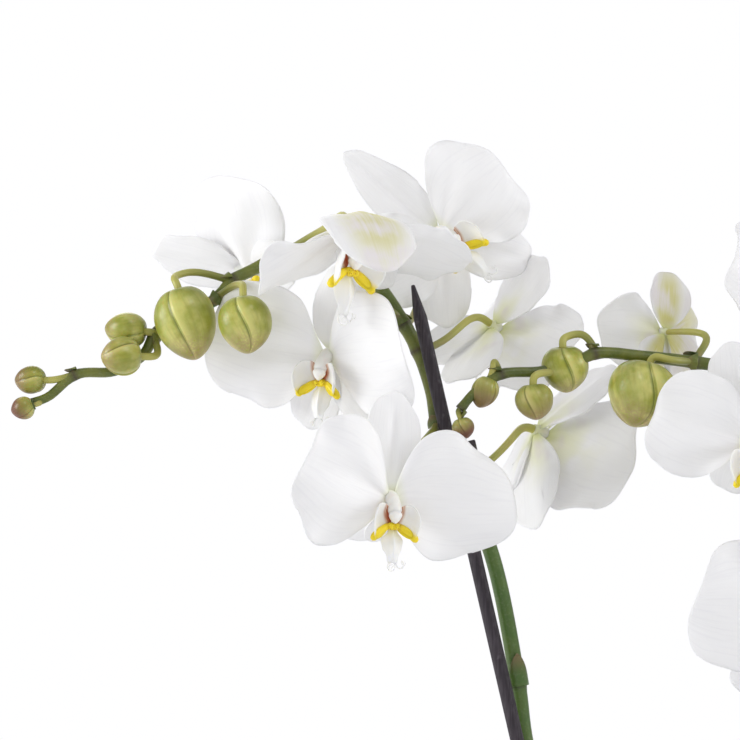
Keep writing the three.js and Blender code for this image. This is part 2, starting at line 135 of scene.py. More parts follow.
def placeOf():
    return addNode("ShaderNodeTexCoord", {}).outputs["Object"]


def heightOf(place):
    return addNode("ShaderNodeSeparateXYZ", {0: place}).outputs[2]


def spotOf():  # across, along and side, kept on each point of a piece
    vector = addNode("ShaderNodeAttribute", {}, attribute_name="spot").outputs["Vector"]
    return addNode("ShaderNodeSeparateXYZ", {0: vector}).outputs[0:3]


def startLook(name, **fixed):
    look = bpy.data.materials.new(name)
    look.use_nodes = True
    shader = look.node_tree.nodes["Principled BSDF"]
    for socket, value in fixed.items():
        shader.inputs[socket.replace("_", " ")].default_value = value
    brush.update(look=look, tree=look.node_tree, shader=shader)


def finishLook(colour, roughness=None, normal=None):
    for name, value in (("Base Color", colour), ("Roughness", roughness), ("Normal", normal)):
        if value is not None:
            setInput(brush["shader"].inputs[name], value)
    return brush["look"]


petalLook = {
    "white": (0.92, 0.915, 0.925), "shade": (0.80, 0.79, 0.83), "foot": (0.70, 0.75, 0.30),
    "blush": (0.74, 0.66, 0.72), "cream": (0.81, 0.82, 0.50), "tint": (0.60, 0.555, 0.17),
}


def makePetalLook():  # side: 0 front, 1 back, 2 the back of a late tepal, still partly green
    startLook(
        "petalSatin", Subsurface_Weight=0.4, Subsurface_Scale=0.003,
        Subsurface_Radius=(1.0, 0.95, 0.88), Specular_IOR_Level=0.3, Sheen_Weight=0.06,
    )
    across, along, side = spotOf()
    place = placeOf()
    back, late = fade(side, 0.2, 0.8), fade(side, 1.2, 1.8)
    fan = combine(times(across, 9.0), times(along, 0.9), side)
    veins, fineVeins = cloud(fan, 2.2, 2.0), cloud(fan, 6.5, 1.0)
    patches = cloud(place, 55.0, 2.0)
    mottle = calc("ADD", times(veins, 0.2), times(patches, 0.8))
    backFoot = times(back, fade(along, 0.72, 0.08))
    middle, lateMiddle = fade(apart(across), 0.75, 0.1), fade(apart(across, 0.1), 0.95, 0.2)
    cream = times(backFoot, middle, fade(patches, 0.26, 0.58, 0.85))
    tint = times(late, lateMiddle, fade(along, 1.3, 0.6), fade(mottle, 0.22, 0.6, 0.92))
    flushed = times(backFoot, fade(patches, 0.55, 0.72, 0.6))
    blush = calc("MAXIMUM", flushed, times(late, fade(mottle, 0.54, 0.36, 0.5)))
    colour = paint(
        petalLook, "white", (fade(veins, 0.5, 0.72, 0.24), "shade"),
        (fade(along, 0.14, 0.02, 0.4), "foot"), (cream, "cream"), (tint, "tint"), (blush, "blush"),
        (times(back, fade(along, 0.16, 0.0, 0.8)), "foot"),
    )
    height = calc("ADD", times(veins, 0.7), times(fineVeins, 0.3))
    normal = roughen(cells(place, 2600.0), 0.08, 0.00006, roughen(height, 0.35, 0.0005))
    return finishLook(colour, scaled(fineVeins, 0.14, 0.42), normal)


columnLook = {
    "ivory": (0.90, 0.89, 0.84), "foot": (0.80, 0.82, 0.52), "cap": (0.93, 0.92, 0.88),
    "flush": (0.86, 0.66, 0.62),
}


def makeColumnLook():  # side: 0 on the column, 1 on its cap
    startLook(
        "columnWax", Roughness=0.38, Subsurface_Weight=0.3, Subsurface_Scale=0.002,
        Subsurface_Radius=(1.0, 0.9, 0.7), Specular_IOR_Level=0.45,
    )
    _, along, part = spotOf()
    tint = cloud(placeOf(), 420.0, 3.0)
    colour = paint(
        columnLook, "ivory", (fade(along, 0.45, 0.05), "foot"), (part, "cap"),
        (fade(tint, 0.5, 0.7, 0.18), "flush"),
    )
    return finishLook(colour, normal=roughen(tint, 0.2, 0.0002))


lipLook = {
    "white": (0.91, 0.91, 0.89), "cream": (0.88, 0.88, 0.66), "yellow": (0.90, 0.70, 0.02),
    "red": (0.42, 0.06, 0.015), "amber": (0.72, 0.38, 0.02), "dots": (0.34, 0.06, 0.02),
}


def makeLipLook():  # side: 0 middle lobe, 1 side lobes, 2 callus, 3 yellow tabs
    startLook(
        "lipWax", Roughness=0.4, Subsurface_Weight=0.3, Subsurface_Scale=0.002,
        Subsurface_Radius=(1.0, 0.88, 0.6), Specular_IOR_Level=0.4,
    )
    across, along, part = spotOf()
    place = placeOf()
    streaks = cloud(combine(times(across, 8.0), along, part), 2.0, 2.0)
    # The middle lobe is white, cream and then yellow towards its foot
    middle = paint(
        lipLook, "white", (fade(along, 0.45, 0.12), "cream"),
        (fade(along, 0.16, 0.02, 0.8), "yellow"),
    )
    # The side lobes are white, red inside by the column and yellow along their lower edge
    inner = fade(across, -0.42, -0.8)
    side = paint(
        lipLook, "white", (fade(along, 0.32, 0.12), "yellow"), (times(inner, 0.5), "amber"),
        (times(inner, fade(streaks, 0.3, 0.5)), "red"),
    )
    callus = paint(lipLook, "yellow", (fade(cells(place, 1300.0), 0.36, 0.2), "dots"))
    tab = paint(lipLook, "yellow", (fade(along, 0.35, 0.0), "amber"))
    colour = paint(
        lipLook, middle, (reaches(part, 1), side), (reaches(part, 2), callus),
        (reaches(part, 3), tab),
    )
    return finishLook(colour, normal=roughen(cloud(place, 700.0, 2.0), 0.25, 0.0002))


stemLook = {
    "green": (0.155, 0.175, 0.027), "dark": (0.08, 0.11, 0.014), "pale": (0.47, 0.45, 0.11),
    "low": (0.06, 0.14, 0.026), "ring": (0.06, 0.045, 0.025), "bloom": (0.42, 0.45, 0.34),
    "pink": (0.42, 0.26, 0.16), "bract": (0.17, 0.13, 0.05),
}


def makeStemLook():  # side: 0 on the axis, 1 on a stalk, 2 on a bract
    startLook("stemGreen", Subsurface_Weight=0.06, Subsurface_Scale=0.001)
    ring, along, part = spotOf()
    place = placeOf()
    patches, flecks = cloud(place, 90.0, 4.0), cloud(place, 900.0, 3.0)
    axis = paint(
        stemLook, "green", (fade(patches, 0.38, 0.66), "dark"),
        (fade(heightOf(place), 0.53, 0.46, 0.72), "low"), (fade(flecks, 0.5, 0.75, 0.1), "bloom"),
    )
    stalk = paint(
        stemLook, "green", (fade(along, 0.0, 0.7), "pale"), (fade(patches, 0.5, 0.75, 0.3), "pink"),
    )
    ringed = paint(stemLook, axis, (times(ring, 0.85), "ring"))
    bract = paint(stemLook, axis, (fade(along, 0.3, 1.0), "bract"))
    colour = paint(stemLook, ringed, (reaches(part, 1), stalk), (reaches(part, 2), bract))
    return finishLook(colour, scaled(flecks, 0.3, 0.24), roughen(flecks, 0.25, 0.0003))


budLook = {
    "green": (0.34, 0.36, 0.035), "pale": (0.64, 0.62, 0.20), "dark": (0.11, 0.14, 0.012),
    "blush": (0.38, 0.22, 0.13), "brown": (0.17, 0.07, 0.035),
}


def makeBudLook():  # across: 0 to 1 over each sepal, along: from stalk to tip, side: how young
    startLook("budSkin", Subsurface_Weight=0.25, Subsurface_Scale=0.003)
    across, along, young = spotOf()
    place = placeOf()
    patches, flecks = cloud(place, 120.0, 3.0), cloud(place, 1100.0, 3.0)
    lines = cloud(combine(times(across, 7.0), times(along, 0.8), young), 2.4, 2.0)
    colour = paint(
        budLook, "green", (fade(patches, 0.3, 0.75), "pale"), (fade(lines, 0.4, 0.75, 0.2), "dark"),
        (fade(apart(across, 0.45), 0.32, 0.05, 0.28), "dark"),
        # the raised lapping edge of each sepal is paler, partly its own paler margin and partly a
        # painted highlight on the ridge; the groove under it, where the next sepal starts, is
        # darkened as painted shade
        (fade(across, 0.78, 0.96, 0.9), "pale"), (fade(across, 0.09, 0.01, 0.8), "dark"),
        (fade(along, 0.25, 0.0, 0.5), "dark"),
        (times(fade(along, 0.6, 1.0), fade(flecks, 0.3, 0.6, 0.6)), "blush"),
        (times(young, fade(scaled(patches, 0.6, along), 0.35, 1.15)), "brown"),
    )
    return finishLook(colour, scaled(flecks, 0.25, 0.2), roughen(flecks, 0.2, 0.0003))


leafLook = {
    "top": (0.042, 0.13, 0.02), "light": (0.08, 0.20, 0.032), "under": (0.14, 0.22, 0.08),
    "foot": (0.20, 0.26, 0.10), "purple": (0.10, 0.05, 0.06),
}


def makeLeafLook():
    startLook("leafLeather", Specular_IOR_Level=0.4, Coat_Weight=0.05, Coat_Roughness=0.3)
    across, along, back = spotOf()
    place = placeOf()
    lines = cloud(combine(times(across, 16.0), times(along, 1.5), back), 2.0, 2.0)
    patches = cloud(place, 28.0, 4.0)
    colour = paint(
        leafLook, "top", (fade(patches, 0.35, 0.7), "light"),
        (fade(lines, 0.5, 0.75, 0.25), "light"), (fade(apart(across), 0.05, 0.0, 0.55), "under"),
        (back, "under"), (times(back, fade(patches, 0.4, 0.65, 0.35)), "purple"),
        (fade(along, 0.14, 0.0, 0.7), "foot"),
    )
    height = scaled(cloud(place, 1400.0, 2.0), 0.25, lines)
    return finishLook(colour, scaled(patches, 0.2, 0.24), roughen(height, 0.3, 0.0005))


crownLook = {"green": (0.17, 0.24, 0.07), "tan": (0.38, 0.30, 0.17), "brown": (0.14, 0.09, 0.045)}


def makeCrownLook():
    startLook("crownSheath", Roughness=0.6)
    _, along, part = spotOf()
    fibres = cloud(stretched(placeOf(), (1.0, 1.0, 0.12)), 900.0, 3.0)
    old = calc("MAXIMUM", fade(along, 0.6, 0.35), fade(part, 0.5, 1.5))
    colour = paint(
        crownLook, "green", (times(old, fade(fibres, 0.2, 0.5)), "tan"),
        (fade(fibres, 0.5, 0.7, 0.5), "brown"),
    )
    return finishLook(colour, normal=roughen(fibres, 0.5, 0.0005))


rootLook = {"silver": (0.46, 0.49, 0.38), "green": (0.20, 0.30, 0.10), "brown": (0.25, 0.17, 0.09)}


def makeRootLook():
    startLook("rootSkin", Roughness=0.7)
    place = placeOf()
    grain = cloud(place, 1500.0, 3.0)
    colour = paint(
        rootLook, "silver", (fade(cloud(place, 160.0, 4.0), 0.4, 0.62), "green"),
        (fade(grain, 0.52, 0.7, 0.5), "brown"),
    )
    return finishLook(colour, normal=roughen(grain, 0.4, 0.0004))


barkLook = {
    "brown": (0.16, 0.085, 0.045), "dark": (0.045, 0.026, 0.018), "red": (0.26, 0.12, 0.06),
    "pale": (0.34, 0.24, 0.16),
}


def makeBarkLook():  # side: how red a chip is
    startLook("barkChips", Roughness=0.9, Specular_IOR_Level=0.25)
    tone, place = spotOf()[2], placeOf()
    inputs = {0: place, 1: combine(tone)}
    shifted = addNode("ShaderNodeVectorMath", inputs, operation="ADD").outputs[0]
    streaks = cloud(stretched(shifted, (1.0, 1.0, 4.5), (0.3, 0.2, 0.0)), 150.0, 5.0, 0.65)
    grit = cloud(place, 1300.0, 4.0)
    colour = paint(
        barkLook, "dark", (fade(streaks, 0.35, 0.65), "brown"),
        (times(tone, fade(streaks, 0.45, 0.6)), "red"), (fade(grit, 0.6, 0.75, 0.5), "pale"),
    )
    return finishLook(colour, normal=roughen(scaled(grit, 0.3, streaks), 0.8, 0.0015))


glazeLook = {
    "cream": (0.70, 0.67, 0.60), "warm": (0.62, 0.57, 0.49), "speck": (0.20, 0.13, 0.08),
    "clay": (0.45, 0.33, 0.24),
}


def makeGlazeLook():
    startLook("potGlaze", Coat_Weight=0.35, Coat_Roughness=0.12)
    place = placeOf()
    bands = cloud(stretched(place, (1.0, 1.0, 9.0)), 22.0, 3.0)
    pick = fade(cloud(place, 120.0, 1.0), 0.5, 0.56, 0.75)
    colour = paint(
        glazeLook, "cream", (fade(cloud(place, 18.0, 3.0), 0.3, 0.7), "warm"),
        (fade(bands, 0.4, 0.7, 0.3), "warm"),
        (times(pick, fade(cells(place, 330.0), 0.13, 0.08)), "speck"),
        (fade(heightOf(place), 0.0032, 0.0022), "clay"),
    )
    return finishLook(colour, scaled(bands, 0.16, 0.2), roughen(bands, 0.12, 0.0008))


stakeLook = {
    "dark": (0.022, 0.016, 0.022), "light": (0.05, 0.04, 0.05), "scuff": (0.14, 0.12, 0.14),
}


def makeStakeLook():
    startLook("stakePlastic", Specular_IOR_Level=0.4)
    place = placeOf()
    streaks = cloud(stretched(place, (1.0, 1.0, 0.05)), 1200.0, 3.0)
    scuffs = cloud(place, 260.0, 4.0)
    colour = paint(
        stakeLook, "dark", (fade(streaks, 0.35, 0.7), "light"),
        (fade(scuffs, 0.6, 0.75, 0.35), "scuff"),
    )
    return finishLook(colour, scaled(scuffs, 0.3, 0.42), roughen(streaks, 0.3, 0.0002))


clipLook = {"dark": (0.03, 0.02, 0.024), "light": (0.055, 0.042, 0.05)}


def makeClipLook():
    startLook("clipPlastic")
    scuffs = cloud(placeOf(), 500.0, 3.0)
    colour = paint(clipLook, "dark", (fade(scuffs, 0.4, 0.7), "light"))
    return finishLook(colour, scaled(scuffs, 0.25, 0.22), roughen(scuffs, 0.15, 0.0002))


looks = {
    "petal": makePetalLook(), "column": makeColumnLook(), "lip": makeLipLook(),
    "stem": makeStemLook(), "bud": makeBudLook(), "leaf": makeLeafLook(),
    "crown": makeCrownLook(), "root": makeRootLook(), "bark": makeBarkLook(),
    "glaze": makeGlazeLook(), "stake": makeStakeLook(), "clip": makeClipLook(),
}
print("looks ready")


# Shared mesh work

def newMesh():
    bm = bmesh.new()
    return bm, bm.verts.layers.float_vector.new("spot")


def spotsOf(bm):
    return bm.verts.layers.float_vector["spot"]


def asMesh(name, bm):
    mesh = bpy.data.meshes.new(name)
    bm.to_mesh(mesh)
    bm.free()
    return mesh


def asObject(name, data):
    thing = bpy.data.objects.new(name, data)
    scene.collection.objects.link(thing)
    return thing


def only(kind, geom):
    return [item for item in geom if isinstance(item, kind)]


def everything(bm):
    return bm.verts[:] + bm.edges[:] + bm.faces[:]


def move(bm, matrix):
    bmesh.ops.transform(bm, matrix=matrix, verts=bm.verts)


def ball(around, up):
    bm, spot = newMesh()
    bmesh.ops.create_uvsphere(bm, u_segments=around, v_segments=up, radius=1)
    return bm, spot


def cuboid(size):
    bm, spot = newMesh()
    bmesh.ops.create_cube(bm, size=1)
    bmesh.ops.scale(bm, vec=size, verts=bm.verts)
    return bm, spot


def roundOff(bm, edges, offset, segments=3):
    bmesh.ops.bevel(
        bm, geom=edges, offset=offset, affect="EDGES", segments=segments, profile=0.5, material=-1,
    )


def sharpEdges(bm, angle):  # the edges that turn by more than this many degrees
    return [edge for edge in bm.edges if edge.calc_face_angle(0) > radians(angle)]


def markSide(bm, side):
    spot = spotsOf(bm)
    for vert in bm.verts:
        vert[spot].z = side


def uprightTo(way):  # turns +Z to this way
    return Vector((0, 0, 1)).rotation_difference(way).to_matrix().to_4x4()


def bump(distance, width):  # 1 at no distance, and close to 0 past twice the width
    return exp(-(distance / width) ** 2)


def swell(share, stretch, power):  # 0 at both ends and 1 between them
    return sin(pi * min(1, share * stretch)) ** power


def onDisc(p, q):  # takes a square from -1 to 1 onto a round disc
    return p * sqrt(1 - q * q / 2), q * sqrt(1 - p * p / 2)


def stepped(stops, share, smooth=True):  # a course through (share, value) stops
    for (a, low), (b, high) in zip(stops, stops[1:]):
        if share <= b:
            part = (share - a) / (b - a)
            return low + (high - low) * (part * part * (3 - 2 * part) if smooth else part)
    return stops[-1][1]


def finishPiece(name, bm, lookNames, nodes, angle=None):
    bmesh.ops.remove_doubles(bm, verts=bm.verts, dist=mergeReach)
    bmesh.ops.recalc_face_normals(bm, faces=bm.faces)
    move(bm, Matrix.Scale(mm, 4))
    mesh = asMesh(name, bm)
    for look in lookNames:
        mesh.materials.append(looks[look])
    mesh.shade_smooth()
    if angle is not None:
        mesh.set_sharp_from_angle(angle=radians(angle))
    piece = asObject(name, mesh)
    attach(piece, "root")
    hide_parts(*nodes)


def thicken(bm, spot, thickness, rim):  # gives a sheet its two faces, and marks the back with 1
    bm.normal_update()
    out = bm.verts.layers.float_vector.new("out")
    edge = bm.verts.layers.float.new("edge")
    for vert in bm.verts:
        vert[out], vert[edge] = vert.normal, vert.is_boundary
        vert.co += vert.normal * thickness / 2
    back = set(bm.verts)
    bmesh.ops.solidify(bm, geom=bm.faces[:], thickness=-thickness)
    for vert in bm.verts:
        vert[spot].z = 1 if vert in back else 0
        side = -1 if vert in back else 1
        vert.co += vert[out] * side * vert[edge] * thickness / 2 * (1 - rim)
    bm.verts.layers.float_vector.remove(out)
    bm.verts.layers.float.remove(edge)


def newSheet(columns, rows, surface, thickness, place=Matrix(), rim=1):
    bm, spot = newMesh()
    bmesh.ops.create_grid(bm, x_segments=columns, y_segments=rows, size=1)
    for vert in bm.verts:
        vert.co, vert[spot] = surface(vert.co.x, vert.co.y)
    thicken(bm, spot, thickness, rim)
    move(bm, place)
    return bm


def addTo(whole, part, look=0, side=None):  # moves a part's mesh into the whole
    if side is not None:
        markSide(part, side)
    for face in part.faces:
        face.material_index = look
    mesh = asMesh("part", part)
    whole.from_mesh(mesh)
    bpy.data.meshes.remove(mesh)


def smoothPath(points, steps):  # an even walk along a smooth curve through the points
    points = [Vector(point) for point in points]
    ends = [points[0] * 2 - points[1], *points, points[-1] * 2 - points[-2]]
    fine = [points[0]]
    for a, b, c, d in zip(ends, ends[1:], ends[2:], ends[3:]):
        first, middle, last = (b - a).length ** 0.5, (c - b).length ** 0.5, (d - c).length ** 0.5
        leave = ((b - a) / first - (c - a) / (first + middle) + (c - b) / middle) * middle
        arrive = ((c - b) / middle - (d - b) / (middle + last) + (d - c) / last) * middle
        fine += geometry.interpolate_bezier(b, b + leave / 3, c - arrive / 3, c, 13)[1:]
    lengths = [0.0]
    for a, b in zip(fine, fine[1:]):
        lengths.append(lengths[-1] + (b - a).length)
    path, k = [], 0
    for step in range(steps + 1):
        want = lengths[-1] * step / steps
        while k < len(fine) - 2 and lengths[k + 1] < want:
            k += 1
        path.append(fine[k].lerp(fine[k + 1], (want - lengths[k]) / (lengths[k + 1] - lengths[k])))
    return path


def sweep(path, radiusAt, sides, part=0.0, ringAt=None):
    bm, spot = newMesh()
    last = len(path) - 1
    ways = [path[min(i + 1, last)] - path[max(i - 1, 0)] for i in range(last + 1)]
    tangents = [way.normalized() for way in ways]
    turn = Vector((0, 0, 1)).rotation_difference(tangents[0])
    ring = bmesh.ops.create_circle(bm, cap_ends=True, segments=sides, radius=1)["verts"]
    edges = bm.edges[:]
    place = Matrix()
    for i, spotAt in enumerate(path):
        if i:
            turn = tangents[i - 1].rotation_difference(tangents[i]) @ turn
            grown = bmesh.ops.extrude_edge_only(bm, edges=edges)["geom"]
            ring = only(bmesh.types.BMVert, grown)
            fresh = set(ring)
            edges = [e for e in only(bmesh.types.BMEdge, grown) if fresh.issuperset(e.verts)]
        share = i / last
        sized = turn.to_matrix().to_4x4() @ Matrix.Scale(radiusAt(share), 4)
        wanted = Matrix.Translation(spotAt) @ sized
        bmesh.ops.transform(bm, matrix=wanted @ place.inverted(), verts=ring)
        place = wanted
        for vert in ring:
            vert[spot] = (ringAt(share) if ringAt else 0, share, part)
    bmesh.ops.edgeloop_fill(bm, edges=edges)
    return bm


def lathe(profile, steps):  # turns an outline of (radius, height) points into a closed round body
    bm, _ = newMesh()
    verts = [bm.verts.new((radius, 0, height)) for radius, height in profile]
    edges = [bm.edges.new(pair) for pair in zip(verts, verts[1:])]
    bmesh.ops.spin(
        bm, geom=verts + edges, axis=(0, 0, 1), cent=(0, 0, 0), angle=tau, steps=steps,
        use_merge=True,
    )
    bmesh.ops.remove_doubles(bm, verts=bm.verts, dist=mergeReach)
    bmesh.ops.recalc_face_normals(bm, faces=bm.faces)
    return bm


# Blooms. In a bloom's own frame +Z faces out of it, +Y is towards its top sepal and +X is to its
# right side.

tepalRoot = 1.4
receptacleBack = 3.4
sepal = {
    "length": 45, "width": 27, "claw": 0.6, "lift": -1.9, "rise": -0.09, "curl": 1.6, "tip": 3,
    "pointed": 0, "wave": 0.6, "groove": 1.1, "pleat": 0.25, "square": 0, "shoulders": (0, 0),
    "arch": 0, "corners": (), "late": False, "columns": 22, "rows": 28,
}
petal = {
    **sepal, "length": 51, "width": 60, "claw": 0.85, "lift": 1.2, "rise": 0.16, "curl": 6.5,
    "tip": 6.5, "wave": 1.6, "groove": 0.9, "pleat": 1.2, "square": 0.035,
    "shoulders": (0.2, 0.2), "columns": 36, "rows": 36,
}
tepals = {
    "top": {**sepal, "heading": 90}, "lowLeft": {**sepal, "heading": 234},
    "lowRight": {**sepal, "heading": 306}, "left": {**petal, "heading": 168},
    "right": {**petal, "heading": 12},
}
blade = {"tepal": 0.55, "lip": 0.5}

# Where each bloom is, how it faces (turned to the right, nodding and rolled), its size and cup, the
# point of the axis that its stalk leaves, the points that the stalk passes, its neck, how its lip
# hangs, and what is special to its tepals
leftBlooms = [
    {"name": "left_1", "at": (-61.6, 38, 520.6), "facing": (115, -31, 16),
     "cup": (0.47, 0.5), "neck": 5, "stem": 7, "by": [(-90, 12, 505), (-75, 24, 518)],
     "top": {"lift": -2.9, "width": 38}, "lowLeft": {"lift": -2.9, "width": 38},
     "lowRight": {"lift": -2.9, "width": 38}},
    {"name": "left_2", "at": (-132.5, -52, 494), "facing": (16, -8, -4), "stem": 8,
     "by": [(-113, -10, 522)],
     "left": {"heading": 156, "rise": 0.5, "length": 49, "shoulders": (0.45, -0.2),
              "corners": ((60, 0.05), (98, 0.04), (142, -0.1), (190, 0.07))},
     "right": {"heading": 0, "length": 54, "width": 57, "shoulders": (0.9, 0.2),
               "corners": ((135, -0.07), (62, 0.09), (24, -0.15), (-135, 0.05))},
     "top": {"groove": 2.0},
     "lowLeft": {"heading": 246, "length": 25, "rise": -1.1},
     "lowRight": {"heading": 298, "length": 25, "rise": -1.1}},
    {"name": "left_3", "at": (-82.6, 42, 570.1), "facing": (128, -38, 25), "size": 0.88,
     "cup": (0.27, 0), "neck": 6, "stem": 10, "by": [(-106, 18, 564), (-93, 32, 575)],
     "top": {"width": 46, "length": 46}, "lowLeft": {"width": 42}, "lowRight": {"width": 38}},
    {"name": "left_4", "at": (-159, -19, 556), "facing": (-24, -12, -4), "stem": 11,
     "by": [(-135, 0, 580), (-147, -6, 575)],
     "left": {"heading": 173, "length": 59}, "right": {"rise": 0.5, "length": 47},
     "top": {"length": 38, "rise": -0.45}, "lowLeft": {"heading": 244, "length": 38}},
    {"name": "left_5", "at": (-108, 28, 613), "facing": (14, 4, 41), "size": 1.06, "stem": 11,
     "by": [(-122, 26, 572), (-114, 44, 596)],
     "top": {"heading": 97, "length": 55, "pointed": 0.5},
     "right": {"heading": 5, "length": 44, "width": 53, "shoulders": (0.35, 0.1),
               "corners": ((180, 0.12), (120, -0.04))},
     "lowLeft": {"length": 40}, "left": {"length": 44, "width": 44}},
    {"name": "left_6", "at": (-151, -46, 612), "facing": (18, -72, -22), "neck": 4.5, "stem": 16,
     "by": [(-168, -8, 610), (-157, -30, 615)],
     "top": {"rise": 0.3, "tip": -24, "width": 42, "heading": 111, "claw": 0.3, "curl": -9,
             "arch": 5, "late": True},
     "left": {"heading": 226, "rise": 0.62, "length": 41, "width": 46},
     "right": {"rise": 0.35, "length": 56}, "lowLeft": {"heading": 270, "rise": 0.3},
     "lowRight": {"heading": 332, "rise": 0.6, "length": 37},
     "lipNod": 52, "lipDrop": 4.5, "lipSize": 1.2},
    {"name": "left_7", "at": (-196.8, 50, 594.1), "facing": (-42, -25, 73),
     "cup": (-0.1, 0.5), "stem": 15, "by": [(-176, 26, 608), (-182, 46, 604)],
     "top": {"heading": 80, "length": 49}},
]
rightBlooms = [
    {"name": "right_1", "at": (116, 2, 416), "facing": (50, -10, 0), "stem": 4,
     "by": [(88, 14, 412)]},
    {"name": "right_2", "at": (49, -32, 444), "facing": (8, -8, 6), "stem": 5,
     "by": [(66, -10, 448)]},
    {"name": "right_3", "at": (118, -6, 500), "facing": (62, 0, -8), "stem": 6,
     "by": [(92, 2, 492)]},
    {"name": "right_4", "at": (24, -50, 518), "facing": (-4, -6, 10), "stem": 8,
     "by": [(50, -28, 540), (36, -36, 534)], "left": {"heading": 150, "length": 46, "width": 48},
     "lowLeft": {"heading": 246, "length": 26, "rise": -1.1},
     "lowRight": {"heading": 298, "length": 26, "rise": -1.1}},
    {"name": "right_5", "at": (60, 12, 577), "facing": (36, 20, -20), "stem": 9,
     "by": [(44, 10, 550), (46, 24, 562)]},
    {"name": "right_6", "at": (-5.6, 12, 567.3), "facing": (217, -2, -7), "size": 0.59,
     "cup": (0.3, 0.2), "stem": 11, "by": [(12, -4, 566)],
     "top": {"late": True, "width": 46, "length": 48, "arch": 3, "heading": 108},
     "left": {"late": True}, "lowLeft": {"late": True, "width": 42},
     "lowRight": {"late": True, "width": 40}},
]


def bloomPlace(bloom):
    turn, nod, roll = (radians(angle) for angle in bloom["facing"])
    facing = Vector((sin(turn) * cos(nod), -cos(turn) * cos(nod), sin(nod)))
    upright = (Vector((0, 0, 1)) - facing * facing.z).normalized()
    up = Matrix.Rotation(roll, 3, facing) @ upright
    axes = Matrix((up.cross(facing), up, facing)).transposed().to_4x4()
    return Matrix.Translation(bloom["at"]) @ axes @ Matrix.Scale(bloom.get("size", 1), 4)


def tepalSurface(shape, seed):
    draw = random.Random(seed)
    phase = [draw.uniform(0, tau) for _ in range(6)]
    waves = draw.choice((3, 4, 5))

    def surface(p, q):
        x, y = onDisc(p, q)
        share = (y + 1) / 2
        half = shape["width"] / 2
        narrowing = 1 - shape["claw"] * exp(-share / 0.1)
        across = x * half * narrowing * (1 - shape["pointed"] * share ** 2)
        along = tepalRoot + (shape["length"] - tepalRoot) * share
        lift = (shape["lift"] + shape["rise"] * along - shape["curl"] * (across / half) ** 2 * share
                - shape["tip"] * share ** 3)
        rim, angle = max(0, hypot(x, y) - 0.55) / 0.45, atan2(y, x)
        ripple = sin(angle * waves + phase[0]) + 0.5 * sin(angle * (2 * waves + 1) + phase[1])
        lift += shape["wave"] * rim ** 2 * ripple * min(1, share * 4)
        lift += 0.9 * shape["wave"] * sin(x * 2.6 + phase[2]) * sin(y * 2.2 + phase[3]) * share
        lift -= shape["arch"] * sin(pi * share)
        fan = atan2(across, along)  # pleats that spread from the foot
        lift += shape["pleat"] * sin(fan * 7 + phase[4]) * swell(share, 1.05, 0.8)
        lift -= shape["groove"] * bump(x, 0.16) * swell(share, 1.1, 0.7)
        edge = 1 + 0.012 * rim ** 2 * sin(angle * 7 + phase[1])
        edge += rim * 0.02 * sin(angle * 2 + phase[5])
        edge -= rim * shape["square"] * cos(angle * 4 + 0.3 * phase[3])
        for place, amount in shape["corners"]:
            away = remainder(angle - radians(place), tau)
            edge += amount * rim * bump(away, 0.5)
        widened = fan * (1 + shape["shoulders"][0 if x < 0 else 1] * (1 - share))
        fan = 1.5 * tanh(widened / 1.5) if abs(widened) > 0.5 else widened
        reach = hypot(across, along) * edge
        return Vector((reach * sin(fan), reach * cos(fan), lift)), Vector((p, share, 0))

    return surface


column = {
    "path": [(0, 0, -3.4), (0, 1, 2), (0, -1, 8), (0, -5.4, 11)],
    "cap": (2.9, 2.6, 3.1), "capAt": (0, -5.2, 11.2), "tilt": -30,
    "radii": ((0, 2.5), (0.3, 3.3), (0.6, 2.8), (0.85, 3.1), (0.95, 2.4), (1, 0.5)),
}


def makeColumn():
    bm = sweep(smoothPath(column["path"], 20), lambda share: stepped(column["radii"], share), 22)
    cap, spot = ball(24, 16)
    for vert in cap.verts:
        x, y, z = vert.co
        beak = 0.3 * max(0, -y) ** 3  # its lower front is drawn out to a small beak
        vert.co = (x * (1 - 0.25 * max(0, -y)), y - beak, z + 0.1 * x * x)
        vert[spot] = (0, 1, 1)
    turn = Matrix.Rotation(radians(column["tilt"]), 4, "X")
    move(cap, Matrix.Translation(column["capAt"]) @ turn @ Matrix.Diagonal((*column["cap"], 1)))
    addTo(bm, cap)
    return bm


middleLobe = {
    "from": -8.6, "length": 16.6, "columns": 24, "rows": 34,
    "halves": ((0, 1.8), (0.2, 2.2), (0.45, 5.2), (0.62, 4.6), (0.85, 2.6), (1, 1.9)),
}


def middleLobeSurface(p, q):
    share = (q + 1) / 2
    x = p * stepped(middleLobe["halves"], share)
    y = middleLobe["from"] - middleLobe["length"] * share - 0.9 * abs(p) * share ** 3
    z = 7.6 + 9.0 * share ** 0.8 - 2.6 * share ** 4 - 0.10 * x * x
    z += 1.5 * bump(x, 1.2) * swell(share, 1.05, 0.8)  # its keel
    z += 0.5 * sin(share * 13 + 2 * p) * abs(p) ** 2 * share
    return Vector((x, y, z)), Vector((p, share, 0))


sideLobe = {
    "centre": Vector((7.6, -7.2, 11.2)), "up": Vector((0.10, 0.99, 0.06)).normalized(),
    "wide": Vector((0.66, -0.22, 0.72)).normalized(),
    "height": 14.5, "width": 13.0, "cup": 2.6, "drawn": 0.85, "steps": 24,
    "foot": Vector((2.6, -9.6, 7.6)), "corner": Vector((9.6, -14.4, 13.4)),
}


